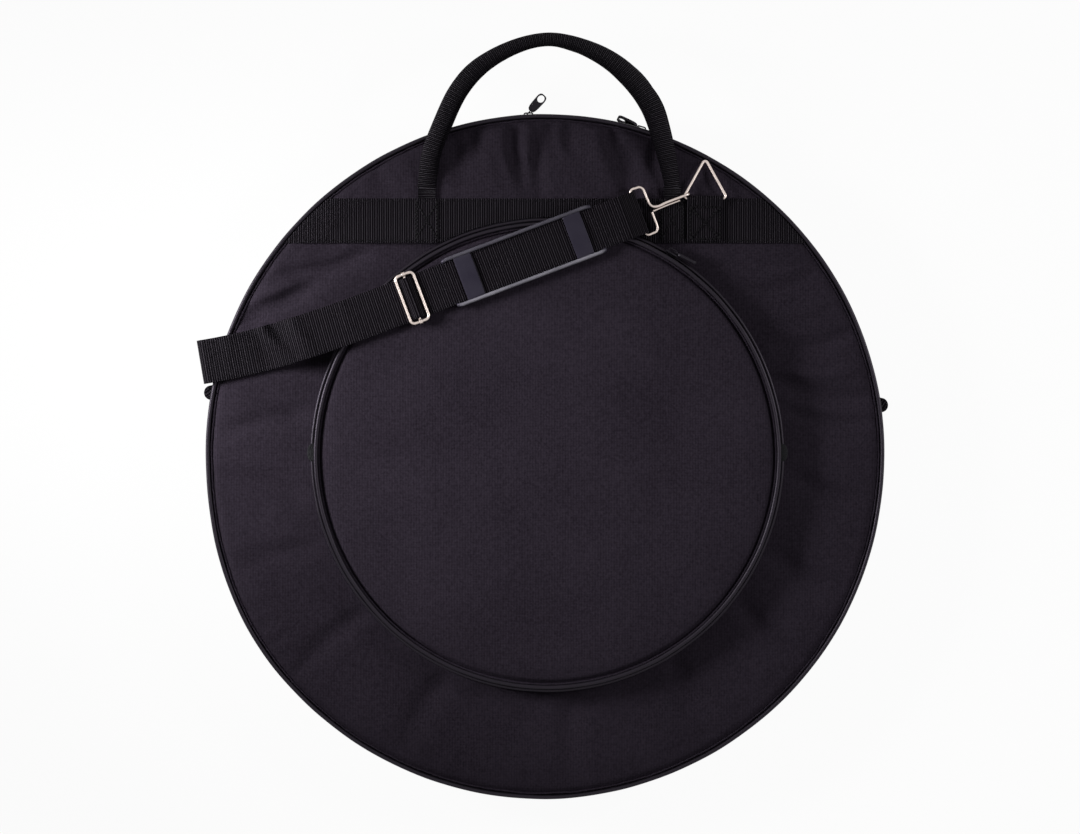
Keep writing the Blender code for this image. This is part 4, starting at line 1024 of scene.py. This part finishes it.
ring_rise, ring_half, ring_y = 0.0340, 0.0187, 0.2180
for name, ring_x, bar_z, tip_z, _, _ in rings:
    tilt = Matrix.Rotation(atan2(tip_z - bar_z, ring_rise), 4, "X")
    spot = Matrix.Translation((ring_x, ring_y, bar_z)) @ tilt
    corners = [Vector((-ring_half, 0)), Vector((ring_half, 0)), Vector((0, ring_rise))]
    ring = wire(name + "_ring", rounded(corners, 0.0022), 0.00125, spot, closed=True)
    belongs(ring, "nickel_wire", "ring_" + name, name + "_ring")


# Strap hooks: one length of wire bent to a T-loop that holds the strap's sewn end, its two legs run
# side by side to an eye round the ring's corner. A short spring wire closes the eye.

def set_at(place, heading):
    return Matrix.Translation(place) @ Matrix.Rotation(radians(heading), 4, "Z")


tee = ((0.00, -0.17), (0.00, -0.45), (0.00, -0.72), (-0.07, -0.90), (-0.25, -0.985), (-0.50, -1.00),
       (-0.86, -1.00), (-1.00, -0.945), (-1.00, -0.5), (-1.00, 0.0), (-1.00, 0.5), (-1.00, 0.945),
       (-0.86, 1.00), (-0.50, 1.00), (-0.25, 0.985), (-0.07, 0.90), (0.00, 0.72), (0.00, 0.45),
       (0.10, 0.12))
tee_depth, tee_half, hook_reach, eye_radius = 0.0110, 0.0205, 0.0313, 0.0035
front_heading, front_foot_level, rear_foot_level = 20.62, 0.0564, 0.0032
hooks = (
    # name, foot of the T-loop, which way up it is, and heading
    ("front", Vector((0.08975, 0.20936, front_foot_level)), 1, front_heading),
    ("back", Vector((0.0668, 0.2064, rear_foot_level)), -1, rear_heading),
)
for name, foot, up, heading in hooks:
    world = set_at(foot, heading)
    middle = -0.0016 * up
    points = [(depth * tee_depth, half * tee_half, 0) for depth, half in tee]
    points += [(tee_depth / 3, 0.0002, 0.0006 * up), (hook_reach * 0.5, 0, 0.0013 * up)]
    points += [(hook_reach - eye_radius, 0, middle + eye_radius * up)]
    for share in spread(0, 1, 9):
        turn = radians(90 - 180 * share)
        points.append((hook_reach + eye_radius * cos(turn), 0, middle + up * eye_radius * sin(turn)))
    points.append((hook_reach - eye_radius / 2, 0, middle - eye_radius * up))
    hook = wire(name + "_hook", points, 0.0012, world, smooth=True)
    belongs(hook, "nickel_wire", "front_flap" if up > 0 else "bag", name + "_hook")
    seat = world @ Matrix.Translation((0.0013, -0.0030, 0))
    points = [(0, 0, 0), (0.0122, 0.0006, 0.0001 * up), (0.0200, 0.0006, 0.0005 * up)]
    points.append((0.0245, 0.0006, 0.0008 * up))
    gate = wire(name + "_hook_gate", points, 0.0008, seat, smooth=True)
    belongs(gate, "nickel_wire", "gate_" + name, name + "_hook_gate")


# Shoulder strap: one length of 38 mm webbing. It is sewn in a loop on the front hook, runs through the
# pad and the adjuster, folds round the rim and passes under the bag to the rear hook. From there it
# comes back against itself to the adjuster's bar.

pad_centre, slide_back = Vector((-0.0180, 0.1688, 0)), 0.1010
lead = towards(front_heading)
slide_centre = pad_centre - lead * slide_back
front_route, front_bend = bent_route(strap_fold, fold_heading, slide_centre, front_heading)
pad_at = front_bend + slide_back
bar_at = pad_at + 0.1041
strap_level, outer_rest, layer = 0.07093, 0.0530, 0.0019
strap_width, strap_thick = 0.0375, 0.0016


def strap_height(along):
    """Middle of the strap's outer layer: down on the bag at the rim, up on the pocket beyond."""
    share = min(max((along - 0.045) / 0.043, 0.0), 1.0)
    return outer_rest + (strap_level - outer_rest) * (1 - cos(pi * share)) / 2


def on_route(route, along, height):
    point, heading = route(along)
    return Vector((point.x, point.y, height)), Vector((-sin(heading), cos(heading), 0))


def offset_path(path, distance):
    """(length, height) points moved square to the path."""
    moved = []
    for index, (along, height) in enumerate(path):
        before, after = path[max(index - 1, 0)], path[min(index + 1, len(path) - 1)]
        slope = Vector((after[0] - before[0], after[1] - before[1])).normalized()
        moved.append((along - slope.y * distance, height + slope.x * distance))
    return moved


def arc(x, y, radius, start, end, steps):
    turns = [radians(start + (end - start) * step / steps) for step in range(steps + 1)]
    return [(x + radius * cos(turn), y + radius * sin(turn)) for turn in turns]


loop_turn = 0.0021
drop_at = bar_at - 0.0125
fall = degrees(atan2(strap_level - front_foot_level, bar_at - drop_at))
bar_loop = arc(bar_at, front_foot_level, loop_turn, 90 - fall, -90 - fall, 10)
top = Vector(bar_loop[0])
corner = Vector((drop_at, strap_level))
slope = (top - corner).normalized()
under = Vector((slope.y, -slope.x)) * layer
path = [(drop_at - 0.0115, strap_level - layer), (drop_at - 0.006, strap_level - layer)]
path += [tuple(corner + Vector((-0.0012, -layer))), tuple((top + corner) / 2 + under)]
path += bar_loop[::-1] + [tuple(top.lerp(corner, 0.5)), tuple(corner + Vector((0.0008, -0.0004)))]
path += [(along, strap_height(along)) for along in spread(drop_at - 0.0015, 0.0, 190)]
front_main = [on_route(front_route, *spot) for spot in path]
rim_edge, rim_turn, rear_low = -0.0010, 0.0055, 0.0011
wrap = arc(rim_edge, outer_rest - rim_turn, rim_turn, 90, 180, 8)[1:]
wrap += arc(rim_edge, rear_low + rim_turn, rim_turn, 180, 270, 8)
rear_run = spread(0.002, rear_length - 0.022, 90)
rear_out = [(along, rear_low) for along in rear_run]
rear_eye = arc(rear_length, rear_foot_level, loop_turn, -90, 90, 10)
rear_back = [(along, rear_low + layer) for along in rear_run[::-1]]
inner_wrap = offset_path([(0.001, outer_rest)] + wrap + [(0.002, rear_low)], layer)[::-1]
front_in = [(along, strap_height(along)) for along in spread(0.0, pad_at - 0.0850, 120)]
front_in = offset_path(front_in, -layer)
rear_all = wrap + rear_out + rear_eye + rear_back + inner_wrap[1:-1]
strap_spine = front_main + [on_route(rear_route, *spot) for spot in rear_all]
strap_spine += [on_route(front_route, *spot) for spot in front_in]


strap_creases = in_metres(
    (-247, 120, -213, 79, 4.8, 9.6), (-216, 116, -190, 88, 5.2, 3.4),
    (-172, 126, -156, 108, 5, 1.2), (-270, 104, -262, 70, 6, 1.2),
)


def strap_sag(spot):
    """Creases where the strap comes down on the bag, and the softness of used webbing."""
    soft = 0.0003 * uneven(spot.x, spot.y, 30, 2)
    return soft + creased(spot.x, spot.y, strap_creases) * eased(spot.z, 0.045, 0.051)


strap = ribbon("shoulder_strap", strap_spine, strap_width, strap_thick, 10, strap_sag)
belongs(strap, "webbing", None, "strap_front", "strap_front_inner", "strap_back")
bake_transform(strap)


# Shoulder pad: moulded in dark blue-grey rubber, a thin plate with a round rail along each side. Two
# flat bridges are moulded across it, and the strap runs under them.

def rubber_finish(name, rail_highlight):
    """Dark rubber. Where the rail highlight share isn't 0, a highlight is painted along the rails' tops,
    brightest on the lower rail.
    """
    finish = Finish(name, (0.014, 0.013, 0.018), 0.32, Specular_IOR_Level=0.12,
                    Specular_Tint=(0.92, 0.80, 1.0, 1))
    place, (right, upward, level) = finish.axes("Object")
    # Which rail: the painted highlight is stronger on the lower one.
    aside = upward * cos(radians(front_heading)) - right * sin(radians(front_heading))
    lower = 1 - aside.ramp(0.155, 0.175)
    pores = finish.speckle(place, 1300.0, 3.0)
    rub = finish.speckle(place, 45.0, 3.0)
    # Random rubber tone, plus a painted highlight along the rails' tops.
    shade = rub * 0.10 + rail_highlight * level.ramp(0.0726, 0.0743) * (0.35 + 0.65 * lower) * (0.4 + 1.2 * rub)
    return finish.looks(shade, (0.0135, 0.0115, 0.0215), (0.210, 0.202, 0.232), 0.24 + 0.20 * rub,
                        pores + rub * 0.6, 0.00015, 0.6)


# The rails' copy of the rubber carries the painted highlight. The bridges' copy has none.
rubber, highlit_rail_rubber = rubber_finish("pad_rubber", 0), rubber_finish("highlit_rail_rubber", 0.8)
pad_world = set_at((pad_centre.x, pad_centre.y, 0.06733), front_heading)
pad_half, pad_inner, pad_outer = 0.0675, 0.01905, 0.02185
pad_profile = [(-pad_outer + 0.0008, 0.0), (0.0, 0.0), (pad_outer - 0.0008, 0.0), (pad_outer, 0.0009)]
pad_profile += [(pad_outer, 0.0052)]
pad_profile += arc(0.0202, 0.0053, 0.0017, 0, 180, 8)
pad_profile += [(pad_inner, 0.0032), (pad_inner - 0.0008, 0.0025), (0.0, 0.0025)]
pad_profile += [(-across, height) for across, height in pad_profile[4:-1][::-1]]
pad_profile += [(-pad_outer, 0.0009), pad_profile[0]]


def pad_spot(station, along):
    """The channel profile, its ends drawn in and lowered."""
    across, height = pad_profile[round(station)]
    end = eased(abs(along), pad_half - 0.0060, pad_half)
    shrink = 1 - 0.05 * end**2
    return pad_world @ Vector((along, across * shrink, height * (1 - 0.22 * end**2)))


last = len(pad_profile) - 1
pad = laid("shoulder_pad", (0, -pad_half), (last, pad_half), (last, 54), pad_spot)
joined(closed=True)
soft_edged(pad, 0.0004, angle=60)
finished(pad, highlit_rail_rubber, angle=40)
belongs(pad, "pad_rubber", "pad", "shoulder_pad")
bridge_half_long, bridge_half_wide = 0.00775, 0.0212
for name, side in (("left", -1), ("right", 1)):
    def bridge_spot(along, across):
        drop = 0.0016 * eased(abs(across), 0.0175, 0.0212) + 0.0004 * eased(abs(across), 0, 0.018)
        x = side * 0.04935 + along * (1 - 0.03 * eased(abs(across), 0.010, 0.021))
        crown = 0.00025 * cos(along / bridge_half_long * pi / 2)
        return pad_world @ Vector((x, across, 0.0058 - drop + crown))

    bridge = laid("pad_bridge_" + name, (-bridge_half_long, -bridge_half_wide),
                  (bridge_half_long, bridge_half_wide), (8, 26), bridge_spot)
    soft_edged(thick(bridge, 0.0018), 0.0005, 3)
    finished(bridge, rubber, angle=40)
    belongs(bridge, "pad_rubber", "pad")


# Adjuster: a tri-glide of plated wire, a rounded frame with a bar across its middle. The strap's end is
# sewn round the bar, and the strap slides under it through the frame.

slide_world = set_at((slide_centre.x, slide_centre.y, 0.0734), front_heading)
half_x, half_y = 0.0081, 0.0211
corners = [Vector((x * half_x, y * half_y)) for x, y in ((-1, -1), (1, -1), (1, 1), (-1, 1))]
slide = wire("adjuster_frame", rounded(corners, 0.0036, 10), 0.0014, slide_world, closed=True)
bar = wire("adjuster_bar", [(0, y) for y in spread(-half_y, half_y, 5)], 0.0011, slide_world)
ends = []
for name, y in (("low", -half_y), ("high", half_y)):
    knob = wire("adjuster_bar_end_" + name, [(-0.0015, y), (0.0015, y)], 0.0022, slide_world)
    ends.append(finished(soft_edged(knob, 0.0007, 3, 50), nickel))
for piece in (slide, bar, *ends):
    belongs(piece, "nickel_wire", "adjuster", "adjuster_frame")


def bar_webbing(along):
    """Middle of the webbing that rises over the adjuster's bar."""
    share = min(max((abs(along) - 0.0004) / 0.0054, 0.0), 1.0)
    return 0.0036 - 0.0043 * (1 - cos(pi * share)) / 2


side = Vector((-lead.y, lead.x, 0))
spine = [(slide_world @ Vector((along, 0, bar_webbing(along))), side)
         for along in spread(-0.0062, 0.0062, 22)]
hump = ribbon("adjuster_webbing", spine, 0.0360, 0.0015, 10)
belongs(hump, "webbing", "adjuster", "adjuster_webbing")


# Carry handle: a foam core in tubular ribbed webbing, sewn shut along the inside of its arch. Both ends
# run out flat as tails, which are sewn under the front band. It lifts on those tails.

handle_table = (
    # x and y as shares of the arch, and thickness as a share of the grip's
    (-1.000, 0.000, 0.80), (-0.985, 0.120, 0.84), (-0.960, 0.262, 0.85), (-0.850, 0.460, 0.86),
    (-0.785, 0.595, 0.86), (-0.675, 0.735, 0.84), (-0.520, 0.855, 0.74), (-0.240, 0.970, 0.62),
    (-0.030, 1.000, 0.60), (0.115, 0.990, 0.62), (0.335, 0.930, 0.72), (0.575, 0.820, 0.92),
    (0.800, 0.605, 0.98), (0.875, 0.460, 0.94), (0.955, 0.200, 0.80), (0.990, 0.080, 0.72),
    (1.000, 0.000, 0.66),
)
grip_radius = 0.0100
# Its colour has painted light on the grip's upper outer side and painted shade on its inner side.
grip_webbing = webbing_finish("grip_webbing", 0.0015, (0.0010, 0.0008, 0.0013), (0.076, 0.069, 0.080),
                              2 * pi * grip_radius)
arch_middle, arch_half, arch_foot, arch_rise = 0.0038, 0.1045, 0.2267, 0.1266


def between(table, share):
    """A smooth curve through a table of rows, share running from 0 to 1."""
    spot = share * (len(table) - 1)
    index = min(int(spot), len(table) - 2)
    step = spot - index
    rows = [table[min(max(index + shift, 0), len(table) - 1)] for shift in (-1, 0, 1, 2)]
    blended = []
    for a, b, c, d in zip(*rows):
        blended.append(0.5 * (2 * b + (c - a) * step + (2 * a - 5 * b + 4 * c - d) * step**2
                              + (3 * b - a - 3 * c + d) * step**3))
    return blended


handle_end = 240
handle_lines = [between(handle_table, share) for share in spread(0, 1, handle_end + 1)]
handle_spots = [Vector((arch_middle + arch_half * x, arch_foot + arch_rise * y, 0))
                for x, y, _ in handle_lines]
for _ in range(140):
    for rows in (handle_spots, handle_lines):
        inner = [[(a + 2 * b + c) / 4 for a, b, c in zip(*three)]
                 for three in zip(rows, rows[1:], rows[2:])]
        rows[1:-1] = [Vector(row) if rows is handle_spots else row for row in inner]
handle_lengths = lengths_along(handle_spots)


def handle_seam(share):
    """Angle of the cover's seam: high inside the left arch, under the top, outside on the right."""
    return 140 + 45 * eased(share, 0.22, 0.50) + 195 * eased(share, 0.52, 0.80)


def handle_spot(around, station):
    """The tube's skin: flat at the tails, round along the grip, with the sewn crease along it."""
    index = round(station)
    spot, half = handle_spots[index], grip_radius * handle_lines[index][2]
    before, after = handle_spots[max(index - 1, 0)], handle_spots[min(index + 1, handle_end)]
    run = (after - before).normalized()
    if index in (0, handle_end):
        run = Vector((0, 1 if index == 0 else -1, 0))
    out = Vector((-run.y, run.x, 0))
    free = min(handle_lengths[index], handle_lengths[-1] - handle_lengths[index])
    ease = eased(free, 0, 0.045)
    tall = 0.0010 + (half * 0.92 - 0.0010) * ease
    turn = around / grip_radius
    off_seam = (turn - radians(handle_seam(index / handle_end)) + pi) % (2 * pi) - pi
    lips = 0.05 * exp(-(((abs(off_seam) - 0.34) / 0.16) ** 2))
    crease = (0.20 * exp(-((off_seam / 0.16) ** 2)) - lips) * ease
    plump = 1 + 0.02 * noise.noise(spot * 60 + Vector((0, 0, turn)))
    wide = (half - 0.0002) * plump
    rise = 0.0503 + tall + tall * sin(turn) * (1 - crease)
    return spot + out * wide * cos(turn) * (1 - crease) + Vector((0, 0, rise))


def lifting(piece, *nodes):
    """Hides the CAD solids that the piece stands for, and bakes its place into its mesh."""
    belongs(piece, "webbing", None, *nodes)
    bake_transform(piece)


handle = laid("carry_handle", (0, 0), (2 * pi * grip_radius, handle_end), (64, handle_end), handle_spot)
for loop in handle.data.uv_layers.active.data:
    loop.uv = (loop.uv.x, handle_lengths[round(loop.uv.y)])
joined(closed=True)
finished(handle, grip_webbing)
lifting(handle, "handle_cover", "handle_core")

for name, x in zip(("left", "right"), tail_places):
    spine = [(Vector((x, y, 0.0509 + 0.0004 * eased(y, 0.218, 0.228))), across_x)
             for y in spread(0.1840, 0.2285, 24)]
    flat_tail = ribbon("handle_tail_" + name, spine, 0.0150, 0.0011, 8, material=grip_webbing)
    lifting(flat_tail, "handle_tail_" + name)


# Sliders and pulls: cast zinc in black enamel, worn to bare metal on a few edges. Two run on the main
# zip and one on the pocket's, each with a flat pull through its bridge.

def enamel_finish():
    finish = Finish("slider_metal", (0.006, 0.006, 0.007), 0.25, Specular_IOR_Level=0.22,
                    Specular_Tint=(0.92, 0.82, 1.0, 1))
    place, _ = finish.axes("Object")
    wear = finish.speckle(place, 420.0, 4.0)
    chips = wear.ramp(0.70, 0.76)
    finish.set(Metallic=chips)
    return finish.looks(chips, (0.0045, 0.0040, 0.0052), (0.16, 0.15, 0.15), 0.20 + 0.22 * wear,
                        wear, 0.0001, 0.5)


enamel = enamel_finish()
plate_thickness, plate_half, bridge_rise, bridge_half = 0.0016, 0.0055, 0.0035, 0.0042
pull_from, pull_to, pull_hole = 0.0042, 0.0224, 0.0181
hole_long, hole_wide, pull_rings = 0.0033, 0.0029, 4


def on_pull(x, y):
    """Whether a point lies within the pull's outline, which widens towards its tip."""
    length = (pull_to - pull_from) / 2
    half = 0.0037 + 0.0007 * (x - pull_from) / (2 * length)
    return (abs(x - pull_from - length) / length) ** 4 + (abs(y) / half) ** 3.4 < 1


def pull_plate(name, world):
    """A flat tab with an oval hole at its tip: rings from the hole out to the outline, made thick."""
    def place(turn, ring):
        ahead, aside = cos(turn), sin(turn)
        near = hole_long * hole_wide / sqrt((hole_wide * ahead) ** 2 + (hole_long * aside) ** 2)
        inside, outside = near, 0.030
        for _ in range(16):
            middle = (inside + outside) / 2
            if on_pull(pull_hole + middle * ahead, middle * aside):
                inside = middle
            else:
                outside = middle
        reach = near + (inside - near) * ring / pull_rings
        return world @ Vector((pull_hole + reach * ahead, reach * aside, 0))

    made = laid(name, (0, 0), (2 * pi, pull_rings), (56, pull_rings), place)
    joined()
    soft_edged(thick(made, 0.0024), 0.0008, 3, 50)
    return finished(made, enamel)


def slider_plate(name, world, face, width, thickness):
    """One plate of a slider: shouldered at its nose, drawn in at its tail, its edges turned down."""
    def place(along, across):
        drawn_in = 0.24 * eased(along, 0.0005, plate_half) + 0.10 * eased(-along, 0.0040, plate_half)
        half = width / 2 * (1 - drawn_in)
        return world @ Vector((along, face - thickness / 2 - 0.0004 * abs(across) ** 3, across * half))

    made = laid(name, (-plate_half, -1), (plate_half, 1), (16, 10), place)
    soft_edged(thick(made, thickness), thickness * 0.3, 3, 50)
    return finished(made, enamel)


sliders = (
    # name, the zip's centre, radius and height, the slider's angle, width, gap under the outer plate and
    # depth of the inner plate, and the pull's lean, side and twist
    ("slider_left", (0, 0), gusset_radius, zip_middle, 92.8, 0.0090, 0.0018, 0.0019, 44.8, -1, 90),
    ("slider_right", (0, 0), gusset_radius, zip_middle, 73.5, 0.0090, 0.0018, 0.0019, 82.0, 1, 30),
    ("pocket_slider", pocket_centre, 0.1978, pocket_zip_middle, 58.5, 0.0074, 0.0032, 0, 86.0, -1, 0),
)
for name, centre, radius, level, angle, width, gap, depth, lean, way, twist in sliders:
    seat = set_at((*centre, level), angle - 90) @ Matrix.Translation((0, radius, 0))
    face = gap + plate_thickness
    pieces = [slider_plate(name + "_outer_plate", seat, face, width, plate_thickness)]
    foot, bend = face - 0.0006, 0.0013
    post = [(-0.0030, -0.8 * depth), (-0.0030, foot)]
    pieces.append(wire(name + "_post", post, 0.00032, seat, look=enamel))
    if depth:
        pieces.append(slider_plate(name + "_inner_plate", seat, -depth, width * 0.8, 0.0010))
    shoulder, top = bridge_half - 0.00185, foot + bridge_rise - bend
    arch = [(-bridge_half + 0.00055, foot)] + arc(-shoulder, top, bend, 180, 90, 6)
    arch += arc(shoulder, top, bend, 90, 0, 6) + [(bridge_half - 0.00055, foot)]
    pieces.append(wire(name + "_bridge", arch, 0.00062, seat, look=enamel))
    for piece in pieces:
        belongs(piece, "slider_metal", name, name)
    round_bar = lean < 60
    pin = face + (0.00295 if round_bar else 0.0012)
    leads = Matrix.Rotation(radians(90 + way * lean), 4, "Z") @ Matrix.Rotation(pi / 2, 4, "X")
    back = Matrix.Translation((-0.0020 if round_bar else 0, 0, 0))
    hang = seat @ Matrix.Translation((0, pin, 0)) @ leads @ back
    turns = spread(0, 2 * pi, 29)[:-1]
    eye = [(0.00305 + 0.0031 * cos(turn), 0.0019 * sin(turn)) for turn in turns]
    eye = wire(name + "_pull_eye", eye, 0.00046, hang, closed=True, look=enamel)
    tab = pull_plate(name + "_pull_tab", hang @ Matrix.Rotation(radians(twist), 4, "X"))
    for piece in (eye, tab):
        belongs(piece, "slider_metal", name + "_pull", name + "_pull")


# White studio: a sheet of white paper under the bag, two soft lamps and a camera nearly straight above,
# a little towards the handle. Paper and sky show plain white to the camera and in polished metal.

alone()
bpy.ops.mesh.primitive_plane_add(size=12, location=(0, 0, -0.0002))
floor = bpy.context.object
floor.name = "studio_floor"
floor.data.transform(floor.matrix_world)
floor.matrix_world = Matrix()
paper = Finish("studio_paper", (0.86, 0.86, 0.86), 0.9)


def seen(nodes):
    """1 on the rays that show the background: to the camera, and in metal or glass."""
    camera_ray, glossy_ray, clear_ray = [nodes.node("ShaderNodeLightPath", output=f"Is {kind} Ray")
                                         for kind in ("Camera", "Glossy", "Transmission")]
    return camera_ray + glossy_ray + clear_ray


glow = paper.node("ShaderNodeEmission", {}, {"Strength": 1.0})
paper_shade = Signal(paper, paper.shader.outputs[0])
blend = paper.node("ShaderNodeMixShader", {}, {0: seen(paper) * 0.95, 1: paper_shade, 2: glow})
paper.feed(paper.nodes["Material Output"], {0: blend})
floor.data.materials.append(paper.material)

world = bpy.data.worlds.new("studio")
bpy.context.scene.world = world
world.use_nodes = True
sky = Nodes(world.node_tree)
sky.feed(sky.nodes["Background"], {0: (1, 1, 1, 1), 1: 0.11 + 0.89 * seen(sky)})

lamps = (
    # name, place, what it is aimed at, size, power and spread
    ("left", (-0.92, 0.24, 0.50), (-0.16, 0.05, 0.05), 0.35, 1.48, 46),
    ("right", (1.30, 0.35, 0.90), (0, 0.04, 0.05), 0.4, 4.0, 120),
)
for name, spot, aim, size, power, spread_angle in lamps:
    data = bpy.data.lights.new(name, "AREA")
    data.size = size
    data.energy = power
    data.spread = radians(spread_angle)
    lamp = placed(name, data)
    lamp.location = spot
    lamp.rotation_euler = (Vector(aim) - Vector(spot)).to_track_quat("-Z", "Y").to_euler()

target, tilt, distance = Vector((-0.0043, 0.0318, 0.0500)), radians(1.5), 3.2
data = bpy.data.cameras.new("camera")
data.lens = 36 * distance / 0.9213
camera = placed("camera", data)
camera.location = target + Vector((0, sin(tilt), cos(tilt))) * distance
camera.rotation_euler = (-tilt, 0, 0)
bpy.context.scene.camera = camera
bpy.context.scene.view_settings.view_transform = "Standard"
